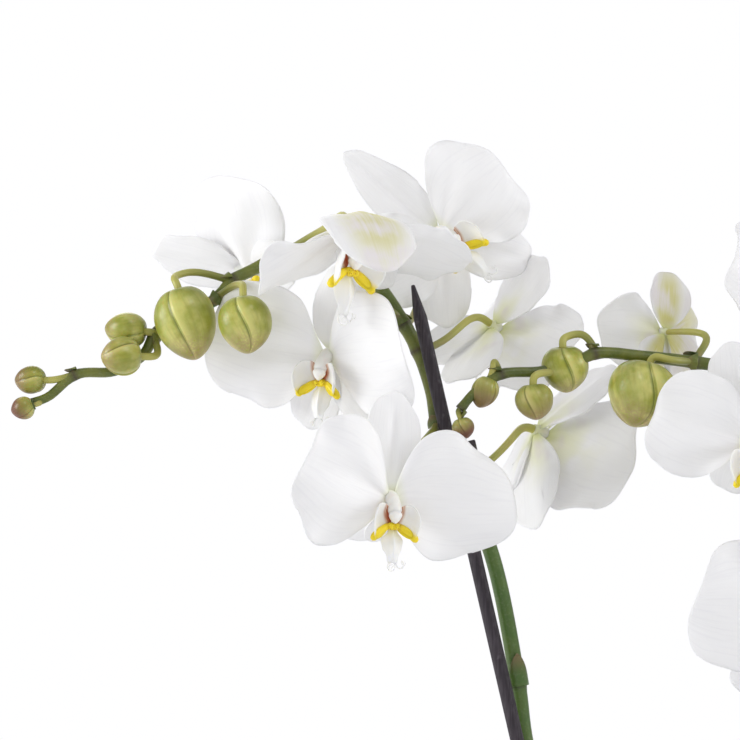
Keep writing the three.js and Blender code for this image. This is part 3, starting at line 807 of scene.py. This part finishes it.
def sideLobeSurface(side):
    up, wide = sideLobe["up"], sideLobe["wide"]
    inward = wide.cross(up).normalized()
    where = {"foot": (-0.72, -0.62, 0.34), "corner": (0.42, -0.85, 0.16)}

    def flat(x, y):
        aside, above = wide * x * sideLobe["width"] / 2, up * y * sideLobe["height"] / 2
        return sideLobe["centre"] + aside + above

    def surface(p, q):
        x, y = onDisc(p, q)
        inside = sideLobe["cup"] * (x * x + 0.7 * y * y)
        inside += 0.4 * max(0, hypot(x, y) - 0.5) * sin(5 * q + 3 * p)
        place = flat(x, y) + inward * inside
        for key, (x0, y0, spread) in where.items():  # it is drawn to the lip's foot and corner
            near = exp(-((x - x0) ** 2 + (y - y0) ** 2) / spread)
            place += (sideLobe[key] - flat(x0, y0)) * near * sideLobe["drawn"]
        return Vector((place.x * side, place.y, place.z)), Vector((x, (y + 1) / 2, 0))

    return surface


tab = {
    "path": [(1.2, -9.4, 9.2), (5.2, -11.2, 11.4), (9.0, -14.2, 13.2), (10.0, -15.8, 13.6)],
    "radii": ((0, 0.9), (0.2, 1.5), (0.8, 1.75), (0.94, 1.4), (1, 0.4)),
}


def makeTab(side):
    path = smoothPath([(x * side, y, z) for x, y, z in tab["path"]], 20)
    return sweep(path, lambda share: stepped(tab["radii"], share), 14)


callus = {"at": (0, -9.8, 10.2), "size": (3.2, 1.8, 2.2)}


def makeCallus():
    bm, _ = ball(28, 18)
    for vert in bm.verts:
        x, y, z = vert.co
        twin = 0.55 * bump(abs(x) - 0.5, 0.25) * max(0, z)  # two knobs with a cleft between them
        vert.co = (x, y + 0.25 * twin, z + twin - 0.3 * bump(x, 0.18) * max(0, z))
    move(bm, Matrix.Translation(callus["at"]) @ Matrix.Diagonal((*callus["size"], 1)))
    return bm


tendril = {"start": (1.3, -25.4, 13.6), "step": 0.55, "steps": 26, "radius": 0.42}


def makeTendril(side):
    heading = Vector((0.5 * side, -0.75, 0.3)).normalized()
    axis = Vector((0.5, 0.35 * side, 0.6 * side)).normalized()
    path = [Vector((tendril["start"][0] * side, *tendril["start"][1:]))]
    for i in range(tendril["steps"]):
        path.append(path[-1] + heading * tendril["step"])
        heading = Matrix.Rotation(side * radians(8 + 1.2 * i), 3, axis) @ heading
    bm = sweep(path, lambda share: tendril["radius"] * (1 - 0.7 * share), 6)
    for vert in bm.verts:
        vert[spotsOf(bm)].y = 1
    return bm


def makeBloom(bloom, seed):
    place = bloomPlace(bloom)
    size = bloom.get("size", 1)
    petals, sepals = bloom.get("cup", (0, 0))
    bm, _ = newMesh()
    for index, (part, usual) in enumerate(tepals.items()):
        shape = {**usual, **bloom.get(part, {})}
        shape["rise"] += petals if part in ("left", "right") else sepals
        heading = Matrix.Rotation(radians(shape["heading"] - 90), 4, "Z")
        surface = tepalSurface(shape, seed * 10 + index)
        sheet = newSheet(shape["columns"], shape["rows"], surface, blade["tepal"] / size, heading)
        if shape["late"]:
            spot = spotsOf(sheet)
            for vert in sheet.verts:
                vert[spot].z *= 2  # the back of a late tepal carries 2
        addTo(bm, sheet)
    hang = Matrix.Rotation(radians(-bloom.get("lipNod", 0)), 4, "X")
    hang @= Matrix.Translation((0, -bloom.get("lipDrop", 0), 0))
    hang @= Matrix.Scale(bloom.get("lipSize", 1), 4)
    columnPart = makeColumn()
    move(columnPart, hang)
    addTo(bm, columnPart, look=1)
    move(bm, place)
    name = "bloom_" + bloom["name"]
    finishPiece(name + "_fine", bm, ["petal", "column"], [name])
    lip, _ = newMesh()
    thickness = blade["lip"] / size
    columns, rows, steps = middleLobe["columns"], middleLobe["rows"], sideLobe["steps"]
    addTo(lip, newSheet(columns, rows, middleLobeSurface, thickness), side=0)
    for side in (-1, 1):
        addTo(lip, newSheet(steps, steps, sideLobeSurface(side), thickness), side=1)
        addTo(lip, makeTab(side), side=3)
        addTo(lip, makeTendril(side), side=0)
    addTo(lip, makeCallus(), side=2)
    move(lip, place @ hang)
    name = "lip_" + bloom["name"]
    finishPiece(name + "_fine", lip, ["lip"], [name])


for index, bloom in enumerate(leftBlooms + rightBlooms):
    makeBloom(bloom, index + 1)
print("blooms ready")


# Sprays: the axis with its nodes and bracts, the stalks and the buds

leftAxis = [
    (-9, -12, 116), (-15.5, -19, 150), (-30, -19, 215), (-50, -15, 300), (-70.5, -7, 381),
    (-74, -5, 408), (-85, -1.5, 464), (-101, 1, 504.5), (-110, 2.5, 525.5), (-112.5, 4, 540),
    (-118.5, 6, 558), (-126, 7, 572), (-135.5, 8, 586.5), (-147.5, 9, 599.5), (-159, 8, 606),
    (-170.5, 6, 606.5), (-181.5, 4, 602.5), (-193.5, 2, 596), (-203.5, 0, 590.5),
    (-210.5, -2, 582.5), (-220.5, -4, 576.5), (-234, -6, 570), (-238.5, -7, 565.5), (-243, -8, 557),
    (-256, -10, 549.5), (-273, -11, 548), (-285.5, -12, 538), (-293, -13, 535),
]
rightAxis = [
    (9, 12, 118), (15.5, 19, 152), (29, 19, 220), (48, 15, 310), (64, 9, 380), (76, 4, 430),
    (79, -2, 474), (74, -8, 506), (60, -12, 529), (44, -15, 543), (24.5, -18, 550),
    (3.5, -20, 553.5), (-19, -22, 556), (-40, -24, 557.5), (-49.5, -24, 553.5), (-64.5, -25, 549.5),
    (-83, -26, 548), (-94.5, -27, 540), (-101, -28, 532.5),
]
leftBuds = [
    {"size": (27, 21.5), "at": (-195.8, -33, 570.7), "tip": (0.1, -0.2, -1), "stem": 19,
     "by": [(-203, -10, 588), (-197, -24, 588)]},
    {"size": (35, 25), "at": (-222.9, -18, 571.8), "tip": (0.25, -0.1, -1), "stem": 18,
     "by": [(-222, -4, 595), (-231, -12, 591)]},
    {"size": (19, 16), "at": (-251.5, -19, 556), "tip": (-1, -0.3, 0), "stem": 22,
     "by": [(-236, -14, 556)]},
    {"size": (20, 15), "at": (-250.5, -8, 568), "tip": (-1, 0.1, 0.1), "stem": 22, "by": []},
    {"size": (15, 11.5), "at": (-293.5, -10, 545.5), "tip": (-1, 0.2, 0), "stem": 25, "by": []},
    {"size": (11, 9.5), "at": (-296.5, -14, 533), "tip": (-1, 0, -0.3), "stem": 27, "by": []},
]
rightBuds = [
    {"size": (31, 28), "at": (-21, -32, 540), "tip": (-0.3, -0.2, -1), "stem": 11,
     "by": [(-3, -28, 554), (-12, -32, 555)]},
    {"size": (22, 19), "at": (-54, -20, 551), "tip": (0.1, 0.1, -1), "stem": 13,
     "by": [(-46, -19, 567), (-55, -19, 564)]},
    {"size": (17, 15.5), "at": (-68, -30, 536.5), "tip": (0.1, 0, -1), "stem": 14,
     "by": [(-60, -27, 549)]},
    {"size": (15, 11), "at": (-90, -26, 540.5), "tip": (-0.4, 0, -1), "stem": 16,
     "by": [(-86, -25, 555)]},
    {"size": (10, 9), "at": (-99.5, -28, 524.5), "tip": (0.3, 0, -1), "stem": 18, "by": []},
]
spray = {
    "radius": 3.8, "tipRadius": 2.0, "stalk": 1.7, "stalkEnd": 2.1, "lowNodes": (2.0, 3.35, 5.0),
    "swelling": 0.16, "nodeLength": 1.6, "steps": 300,
}
bracts = {"stalk": (5.5, 0.8), "low": (15, 1.0), "sheath": (9, 1.5)}  # lengths and wraps
bractThickness = 0.35


def axisRadius(share):
    return spray["radius"] + (spray["tipRadius"] - spray["radius"]) * share ** 3


def pointOn(axis, at):  # 2.5 is halfway from point 2 to point 3
    return Vector(axis[int(at)]).lerp(Vector(axis[int(at) + 1]), at % 1)


def shareOf(path, point):
    nearest = min(range(len(path)), key=lambda i: (path[i] - point).length)
    return nearest / (len(path) - 1)


def makeAxis(axis, stems, foot):
    path = smoothPath([foot, *axis], spray["steps"])
    length = sum((b - a).length for a, b in zip(path, path[1:]))
    low = [pointOn(axis, at) for at in spray["lowNodes"]]
    nodes = [shareOf(path, point) for point in low + [Vector(axis[stem]) for stem in sorted(stems)]]

    def nearNode(share, reach):
        return max(bump((share - node) * length, reach) for node in nodes)

    def radiusAt(share):
        swelling = spray["swelling"] * nearNode(share, spray["nodeLength"] * 1.6)
        return axisRadius(share) * (1 + swelling)

    bm = sweep(path, radiusAt, 16, 0, lambda share: nearNode(share, spray["nodeLength"]))
    for at in low:
        step = round(shareOf(path, at) * spray["steps"])
        along, outward = path[step + 1] - path[step], Vector((0.3, -1, 0))
        addTo(bm, makeBract("low", at, along, outward, spray["radius"]))
    return bm


def makeBract(kind, at, along, outward, radius):  # a pointed scale that clasps the axis
    length, wrap = bracts[kind]
    along = along.normalized()
    outward = (outward - along * outward.dot(along)).normalized()
    sideways = along.cross(outward)

    def surface(p, q):
        share = (q + 1) / 2
        angle = p * wrap * pi * 0.5 * (1 - share) ** 0.7
        out = radius * 1.1 + 0.3 + 0.7 * share ** 3
        around = outward * cos(angle) + sideways * sin(angle)
        return at + along * (length * share - 1) + around * out, Vector((p, share, 0))

    bm = newSheet(10, 10, surface, bractThickness)
    markSide(bm, 2)
    return bm


def relaxed(path, rounds):  # takes the corners out of a path, with its ends left in place
    for _ in range(rounds):
        between = [(a + b * 2 + c) / 4 for a, b, c in zip(path, path[1:], path[2:])]
        path = [path[0], *between, path[-1]]
    return path


def makeStalk(held, axis, before, end, steps, radiusAt):
    path = smoothPath([axis[held["stem"]], *held["by"], before, end], steps)
    return sweep(relaxed(path, 40), radiusAt, 12, 1)


def bloomStalk(bloom, axis):
    place, last = bloomPlace(bloom), spray["stalkEnd"] * bloom.get("size", 1)
    end = place @ Vector((0, 0, -receptacleBack + 0.6))
    before = place @ Vector((0, 0, -receptacleBack - bloom.get("neck", 9)))

    def radiusAt(share):
        return spray["stalk"] + (last - spray["stalk"]) * share ** 3 + 0.8 * bump(share, 0.05)

    return makeStalk(bloom, axis, before, end, 48, radiusAt)


def budStalk(bud, axis):
    at, tip, (length, width) = Vector(bud["at"]), Vector(bud["tip"]).normalized(), bud["size"]
    end, before = at - tip * length * 0.3, at - tip * (length * 0.5 + 3)
    radius = min(spray["stalk"], width * 0.14)

    def radiusAt(share):
        return radius * (1 + 0.5 * bump(share, 0.06))

    return makeStalk(bud, axis, before, end, 40, radiusAt)


def makeBud(bud, seed):
    draw = random.Random(seed)
    length, width = bud["size"]
    start, lean = draw.uniform(0, tau), draw.uniform(0.25, 0.5)
    young = max(0, min(1, (20 - length) / 7))
    bm, spot = ball(72, 36)
    for vert in bm.verts:
        x, y, z = vert.co
        around = (atan2(y, x) / tau * 3 + 0.02) % 1  # where it is across one of three sepals
        x, y, _ = Matrix.Rotation(start - lean * z, 3, "Z") @ vert.co
        fading = 1 - abs(z) ** 8
        lobe = 0.17 * sin(pi * around) ** 0.8 + 0.11 * around ** 8  # each sepal laps over the next
        full = 0.93 * (1 - 0.07 * z) * (1 + (lobe - 0.09) * fading) * (1 + 0.13 * (1 - z ** 4))
        reach = hypot(x, y)
        dip = 0.30 * bump(reach, 0.3) if z < 0 else 0
        vert.co = (x * full, y * full, z + dip + 0.05 * max(0, z) ** 6)
        vert[spot] = (around, (z + 1) / 2, young)
    grown = Matrix.Diagonal((width / 2, width / 2, length / 2 / 1.03, 1))
    move(bm, Matrix.Translation(bud["at"]) @ uprightTo(Vector(bud["tip"]).normalized()) @ grown)
    return bm


def makeSpray(side, axis, blooms, buds, foot):  # its foot comes out of the crown between two leaves
    held = blooms + buds
    bm = makeAxis(axis, {item["stem"] for item in held}, foot)
    for item in held:
        stem = item["stem"]
        at = Vector(axis[stem])
        first = Vector(item["by"][0] if item["by"] else item["at"]) - at
        forward = Vector(axis[min(stem + 1, len(axis) - 1)]) - Vector(axis[stem - 1])
        radius = axisRadius(stem / len(axis))
        addTo(bm, makeBract("stalk", at, forward, first, radius))
        addTo(bm, bloomStalk(item, axis) if "facing" in item else budStalk(item, axis))
    finishPiece("stem_" + side, bm, ["stem"], ["spray_" + side])
    budMesh, _ = newMesh()
    for index, bud in enumerate(buds):
        addTo(budMesh, makeBud(bud, 40 + index + len(axis)))
    finishPiece("buds_" + side, budMesh, ["bud"], ["spray_" + side])


makeSpray("left", leftAxis, leftBlooms, leftBuds, (-3, -4, 105))
makeSpray("right", rightAxis, rightBlooms, rightBuds, (3, 4, 107))
print("sprays ready")


# Leaves

leafShape = {
    "thickness": 2.0, "rim": 0.3, "waist": 0.3, "plane": -20, "crown": 9.5, "columns": 26,
    "rows": 64,
}
leaves = [
    {"side": -1, "foot": 117, "length": 178, "width": 76, "rise": 24, "droop": 62, "twist": -6},
    {"side": 1, "foot": 119, "length": 186, "width": 78, "rise": 26, "droop": 60, "twist": 1},
    {"side": -1, "foot": 125, "length": 205, "width": 80, "rise": 42, "droop": 68, "twist": 3},
    {"side": 1, "foot": 128, "length": 198, "width": 76, "rise": 47, "droop": 66, "twist": -3},
    {"side": -1, "foot": 135, "length": 150, "width": 64, "rise": 62, "droop": 46, "twist": -4},
    {"side": 1, "foot": 139, "length": 118, "width": 52, "rise": 72, "droop": 32, "twist": 4},
]


def leafSurface(leaf, seed):
    draw = random.Random(seed)
    phase = [draw.uniform(0, tau) for _ in range(3)]
    heading = radians(leafShape["plane"] + leaf["twist"] + (180 if leaf["side"] < 0 else 0))
    rise, droop = radians(leaf["rise"]), radians(leaf["droop"])

    def surface(p, q):
        share = 1 - (1 - (q + 1) / 2) ** 1.5  # rows lie closer near the tip
        slope = rise - droop * share
        reach = (leaf["length"] / droop) * (sin(rise) - sin(slope)) + leafShape["crown"] + 1.6
        height = (leaf["length"] / droop) * (cos(slope) - cos(rise)) + leaf["foot"]
        widening = sin(pi / 2 * min(1, share / 0.55)) ** 1.3
        waist = leafShape["waist"] + (1 - leafShape["waist"]) * widening
        rounding = sqrt(max(0.0008, 1 - max(0, (share - 0.55) / 0.45) ** 2.4))
        across = p * leaf["width"] / 2 * waist * rounding
        fold = abs(across) * (0.26 - 0.16 * share + 0.45 * (1 - share) ** 5)
        fold -= 0.9 * exp(-(across / 2.2) ** 2) * (1 - share) ** 0.3 if share < 1 else 0
        wave = sin(share * 9 + phase[0] + (0.8 if p > 0 else 0)) * abs(p) ** 2 * 1.1
        fold += (wave + 0.5 * sin(share * 17 + phase[1]) * p) * min(1, share * 3) * rounding ** 1.5
        out = reach - fold * sin(slope)
        spotAt = Vector((out * cos(heading) - across * sin(heading),
                         out * sin(heading) + across * cos(heading), height + fold * cos(slope)))
        return spotAt, Vector((p, share, 0))

    return surface


for index, leaf in enumerate(leaves):
    name = "leaf_" + str(index + 1)
    surface = leafSurface(leaf, 70 + index)
    columns, rows = leafShape["columns"], leafShape["rows"]
    sheet = newSheet(columns, rows, surface, leafShape["thickness"], rim=leafShape["rim"])
    finishPiece(name + "_fine", sheet, ["leaf"], [name])
print("leaves ready")


# Crown, with the sheaths of old leaves, and its roots

crown = {
    "radius": 9.5, "top": 150, "foot": 84, "root": 2.8, "sheaths": 6, "firstSheath": 108,
    "sheathStep": 6.5,
    "shares": ((0, 0.6), (0.33, 0.95), (0.62, 1.0), (0.85, 0.62), (0.97, 0.3), (1, 0.08)),
}
roots = [
    [(0, -6, 112), (6, -25, 117), (14, -40, 111), (16, -47, 96)],
    [(4, 5, 112), (2, 23, 117), (-8, 36, 111), (-12, 42, 96)],
    [(-6, 3, 110), (-23, 15, 114), (-37, 18, 108), (-44, 12, 94)],
    [(6, -3, 110), (24, -12, 114), (38, -14, 108), (43, -8, 94)],
]


def crownRadius(share):
    return crown["radius"] * stepped(crown["shares"], share, False)


def makeCrown():
    foot, tall = crown["foot"], crown["top"] - crown["foot"]
    path = [Vector((0, 0, foot + tall * i / 30)) for i in range(31)]
    bm = sweep(path, crownRadius, 32)
    for i in range(crown["sheaths"]):
        height = crown["firstSheath"] + i * crown["sheathStep"]
        around = radians(leafShape["plane"] + (180 if i % 2 else 0) + 14 * sin(i * 2.3))
        outward = Vector((cos(around), sin(around), 0))
        radius = crownRadius((height - foot) / tall) / 1.1 - 0.25
        at = Vector((0, 0, height))
        addTo(bm, makeBract("sheath", at, Vector((0, 0, 1)), outward, radius))
    finishPiece("crown_stem", bm, ["crown"], ["crown"])
    rootMesh, _ = newMesh()
    for index, root in enumerate(roots):
        phase = index * 1.7

        def radiusAt(share):
            return crown["root"] * (1 - 0.2 * share) * (1 + 0.05 * sin(share * 21 + phase))

        addTo(rootMesh, sweep(smoothPath(root, 44), radiusAt, 16))
    finishPiece("crown_roots", rootMesh, ["root"], ["crown"])


makeCrown()
print("crown ready")


# Pot

pot = {
    "height": 122, "top": 62, "foot": 45, "wall": 4.5, "floor": 6, "steps": 112,
    "ring": [(0, 1.6), (38, 1.6), (39.5, 0), (43, 0)],  # the unglazed foot stands proud
    "rim": [(61.7, 114.5), (63.6, 116.2), (63.6, 120.6), (62, 122), (58.5, 122)],
}


def potRadius(height):
    return pot["foot"] + (pot["top"] - pot["foot"]) * (height / pot["height"]) ** 0.8


def makePot():
    wall, high, low = pot["wall"], pot["height"], pot["floor"]
    outside, inside = (0.02, 0.15, 0.3, 0.45, 0.6, 0.75, 0.9), (0.94, 0.75, 0.5, 0.25)
    outer = [(potRadius(high * share), high * share) for share in outside]
    inner = [(potRadius(high * share) - wall, high * share) for share in inside]
    floor = [(potRadius(low) - wall, low), (0, low)]
    bm = lathe(pot["ring"] + outer + pot["rim"] + inner + floor, pot["steps"])
    roundOff(bm, sharpEdges(bm, 22), 0.9, 4)
    finishPiece("pot_glazed", bm, ["glaze"], ["pot"])


makePot()
print("pot ready")


# Bark: the plug and the large chips of the frame, and smaller chips between them

bark = {
    "top": 108, "shoulder": 8, "chips": 20, "chipSize": 25, "smallChips": 90, "corners": 3,
    "rough": 0.09, "seed": 7, "sides": ((0.8, 0.35), (0.5, 0.3), (0.4, 0.2)),
    "smallSides": ((8, 14), (5, 9), (3, 6)), "order": Vector((1, 0.7, 0.3)),
}
goldenAngle = 137.5


def drawFrom(seed):
    state = [seed]

    def draw():
        state[0] = (state[0] * 1664525 + 1013904223) % 4294967296
        return state[0] / 4294967296

    return draw


def makeChip(size, turn, at, tone, draw):
    bm, spot = cuboid(size)
    for _ in range(bark["corners"]):  # each breaks a corner off
        normal = Vector([draw.uniform(-most, most) for most in (1, 1, 0.6)]).normalized()
        reach = 0.5 * sum(abs(normal[i]) * size[i] for i in range(3)) * draw.uniform(0.72, 0.9)
        cut = bmesh.ops.bisect_plane(
            bm, geom=everything(bm), plane_co=normal * reach, plane_no=normal, clear_outer=True,
        )
        bmesh.ops.contextual_create(bm, geom=only(bmesh.types.BMEdge, cut["geom_cut"]))
    roundOff(bm, bm.edges[:], 0.07 * min(size), 1)
    bmesh.ops.triangulate(bm, faces=bm.faces)
    # Their order would change from run to run, so it is set by where they are
    bm.faces.sort(key=lambda face: face.calc_center_median().dot(bark["order"]))
    long = [edge for edge in bm.edges if edge.calc_length() > 0.35 * min(size[0], size[1])]
    bmesh.ops.subdivide_edges(bm, edges=long, cuts=1)
    for vert in bm.verts:
        shifted = vert.co * 0.25 + Vector((tone * 50, 0, 0))
        vert.co += noise.noise_vector(shifted) * bark["rough"] * min(size)
        vert[spot] = (0, 0, tone)
    move(bm, Matrix.Translation(at) @ turn)
    return bm


def turned(x, y, z):
    return Matrix.Rotation(z, 4, "Z") @ Matrix.Rotation(y, 4, "Y") @ Matrix.Rotation(x, 4, "X")


def makeBark():
    def fill(height):
        return potRadius(height) - pot["wall"] - 1

    top, chip = bark["top"], bark["chipSize"]
    foot, shoulder = pot["floor"] + gap, top - bark["shoulder"]
    sides = [(fill(height), height) for height in (foot, shoulder / 2, shoulder)]
    plug = lathe([(0, foot), *sides, (0, shoulder + 3)], 64)
    draw, own = drawFrom(bark["seed"]), random.Random(bark["seed"])
    noise.seed_set(bark["seed"])  # otherwise the clock sets it
    for i in range(bark["chips"]):
        radius = sqrt((i + 0.5) / bark["chips"]) * (fill(top) - chip * 0.66)
        angle = i * radians(goldenAngle)
        size = [chip * (least + more * draw()) for least, more in bark["sides"]]
        turn = turned(draw() * 0.8 - 0.4, draw() * 0.8 - 0.4, draw() * pi)
        at = (radius * cos(angle), radius * sin(angle), top - 6 + draw() * 3.5)
        addTo(plug, makeChip(size, turn, at, own.random(), own))
    for i in range(bark["smallChips"]):
        radius = sqrt((i + 0.5) / bark["smallChips"]) * (fill(top) - 6)
        angle = i * radians(goldenAngle) + 1
        size = [own.uniform(*ends) for ends in bark["smallSides"]]
        turn = turned(own.uniform(-0.7, 0.7), own.uniform(-0.7, 0.7), own.uniform(0, pi))
        at = (radius * cos(angle), radius * sin(angle), top + own.uniform(-5, 1))
        if radius > crown["radius"] + 6:
            addTo(plug, makeChip(size, turn, at, own.random(), own))
    finishPiece("bark_chips", plug, ["bark"], ["bark"], 30)


makeBark()
print("bark ready")


# Stakes and clips

stakeShape = {"radius": 3.1, "foot": 24, "point": 15, "narrowing": 0.72}
clipShape = {
    "height": 7, "wall": 2.4, "halfWidth": 6, "play": 0.25, "grip": 7, "gripAt": 2.6,
    "gripLean": 0.35,
}
stakes = [
    {"name": "left", "foot": (-12, -32, 108), "top": (-121.5, -2.5, 588.5), "axis": leftAxis,
     "clips": (3, 7.4)},
    {"name": "right", "foot": (17, 31, 108), "top": (82, 12.5, 474), "axis": rightAxis,
     "clips": (3, 4.6)},
]


def bar(start, end, radius):
    bm, _ = newMesh()
    length = (end - start).length
    middle = Matrix.Translation((0, 0, length / 2))
    bmesh.ops.create_cone(
        bm, cap_ends=True, segments=32, radius1=radius, radius2=radius, depth=length, matrix=middle,
    )
    move(bm, Matrix.Translation(start) @ uprightTo(end - start))
    return bm


def cutAway(bm, tools):  # the mesh less the tools, as a new bmesh
    for part in (bm, *tools):
        bmesh.ops.recalc_face_normals(part, faces=part.faces)
    body, *cutters = [asObject("cut", asMesh("cut", part)) for part in (bm, *tools)]
    for cutter in cutters:
        cut = body.modifiers.new("cut", "BOOLEAN")
        cut.operation, cut.solver, cut.object = "DIFFERENCE", "EXACT", cutter
    cutBody = body.evaluated_get(bpy.context.evaluated_depsgraph_get())
    done = bpy.data.meshes.new_from_object(cutBody)
    for thing in [body, *cutters]:
        bpy.data.objects.remove(thing)
    out, _ = newMesh()
    out.from_mesh(done)
    return out


def makeClip(stake, place, name):
    foot, lean = Vector(stake["foot"]), (Vector(stake["top"]) - Vector(stake["foot"])).normalized()
    before, after = Vector(stake["axis"][int(place)]), Vector(stake["axis"][int(place) + 1])
    onAxis = pointOn(stake["axis"], place)
    onStake = foot + lean * ((onAxis.z - foot.z) / lean.z)
    across = onAxis - onStake
    across -= lean * across.dot(lean)
    sideways = across.normalized()
    basis = Matrix((sideways, lean, sideways.cross(lean))).transposed().to_4x4()
    placed = Matrix.Translation(onStake.lerp(onAxis, 0.5)) @ basis
    half = across.length / 2 + stakeShape["radius"] + clipShape["wall"]
    block, _ = newMesh()
    bmesh.ops.create_cone(
        block, cap_ends=True, segments=48, radius1=1, radius2=1, depth=clipShape["height"],
        matrix=Matrix.Rotation(pi / 2, 4, "X"),
    )
    bmesh.ops.scale(block, vec=(half, 1, clipShape["halfWidth"]), verts=block.verts)
    roundOff(block, sharpEdges(block, 57), 0.8)
    move(block, placed)
    axisWay = (after - before).normalized()
    axisSize = axisRadius(place / (len(stake["axis"]) - 1))
    holes = []
    for at, way, radius in ((onStake, lean, stakeShape["radius"]), (onAxis, axisWay, axisSize)):
        reach = way * clipShape["height"] * 1.2
        holes.append(bar(at - reach, at + reach, radius + clipShape["play"]))
    bm = cutAway(block, holes)
    size = (clipShape["wall"] * 0.8, clipShape["height"] - 1, clipShape["grip"])
    for side in (-1, 1):
        grip, _ = cuboid(size)
        roundOff(grip, grip.edges[:], 0.6)
        out = clipShape["halfWidth"] + clipShape["grip"] / 2 - 1
        there = Matrix.Translation((side * clipShape["gripAt"], 0, out))
        move(grip, placed @ there @ Matrix.Rotation(side * clipShape["gripLean"], 4, "Y"))
        addTo(bm, grip)
    finishPiece(name + "_fine", bm, ["clip"], [name], 35)


for stake in stakes:
    foot, top = Vector(stake["foot"]), Vector(stake["top"])
    base = foot - (top - foot) * (foot.z - stakeShape["foot"]) / (top.z - foot.z)
    bm = bar(base, top, stakeShape["radius"])
    lean = (top - base).normalized()
    roundOff(bm, sharpEdges(bm, 57), 0.9, 4)
    tip = top - lean * stakeShape["point"]
    bmesh.ops.bisect_plane(bm, geom=everything(bm), plane_co=tip, plane_no=lean)
    for vert in bm.verts:  # the top narrows to a blunt point
        past = max(0, (vert.co - tip).dot(lean)) / stakeShape["point"]
        onLine = tip + lean * past * stakeShape["point"]
        if past:
            vert.co = onLine + (vert.co - onLine) * (1 - stakeShape["narrowing"] * past)
    name = "stake_" + stake["name"]
    finishPiece(name + "_fine", bm, ["stake"], [name], 35)
    for index, place in enumerate(stake["clips"]):
        makeClip(stake, place, "clip_" + stake["name"] + "_" + str(index + 1))
print("stakes and clips ready")


# Studio: a pale floor, soft light and the camera

studio = {
    "eye": (-0.1409, -1.12, 0.55), "lens": 119.9, "sensor": 36, "floor": 14,
    "aim": (-0.05, 0, 0.45), "paper": (0.80, 0.80, 0.81), "far": (0.0, 0.0, 0.0),
    "air": (0.98, 0.98, 1.0),
    "skyStrength": 0.5, "seenStrength": 1.02, "floorFade": (0.4, 2.3), "floorGlow": 0.12,
}
lamps = [
    {"name": "leftLight", "at": (-1.7, -0.35, 0.95), "size": 1.0, "power": 15},
    {"name": "rightLight", "at": (1.7, -0.35, 1.0), "size": 1.0, "power": 11},
    {"name": "topLight", "at": (0.3, -1.2, 2.2), "size": 0.6, "power": 7,
     "colour": (1.0, 0.99, 0.97)},
    {"name": "backLight", "at": (-0.4, 1.9, 1.5), "size": 1.4, "power": 8},
]


def makeStudio():
    bm, _ = newMesh()
    bmesh.ops.create_circle(bm, cap_ends=True, segments=96, radius=studio["floor"])
    mesh = asMesh("floor", bm)
    startLook("floorPaper", Roughness=0.9, Specular_IOR_Level=0.0)
    reach = addNode("ShaderNodeVectorMath", {0: placeOf()}, operation="LENGTH").outputs["Value"]
    far = fade(reach, *studio["floorFade"])
    seen, sky, glow = studio["seenStrength"], studio["skyStrength"], studio["floorGlow"]
    setInput(brush["shader"].inputs["Emission Color"], studio["air"])
    setInput(brush["shader"].inputs["Emission Strength"], scaled(far, seen - glow, glow))
    mesh.materials.append(finishLook(paint(studio, "paper", (far, "far"))))
    floor = asObject("floor", mesh)
    world = bpy.data.worlds.new("studioAir")
    world.use_nodes = True
    scene.world = world
    brush["tree"] = world.node_tree
    background = world.node_tree.nodes["Background"]
    inView = addNode("ShaderNodeLightPath", {}).outputs["Is Camera Ray"]
    setInput(background.inputs["Color"], studio["air"])
    setInput(background.inputs["Strength"], scaled(inView, seen - sky, sky))
    for lamp in lamps:
        light = bpy.data.lights.new(lamp["name"], "AREA")
        light.shape, light.size = "DISK", lamp["size"]
        light.energy, light.color = lamp["power"], lamp.get("colour", (1.0, 1.0, 1.0))
        holder = asObject(lamp["name"], light)
        holder.location = lamp["at"]
        aim = Vector(studio["aim"]) - Vector(lamp["at"])
        holder.rotation_euler = aim.to_track_quat("-Z", "Y").to_euler()
        holder.visible_camera = False


makeStudio()
camera = bpy.data.cameras.new("camera")
camera.lens, camera.sensor_width = studio["lens"], studio["sensor"]
viewer = asObject("camera", camera)
viewer.location = studio["eye"]
viewer.rotation_euler = (pi / 2, 0, 0)
scene.camera = viewer
scene.view_settings.view_transform = "Standard"
print("studio ready")
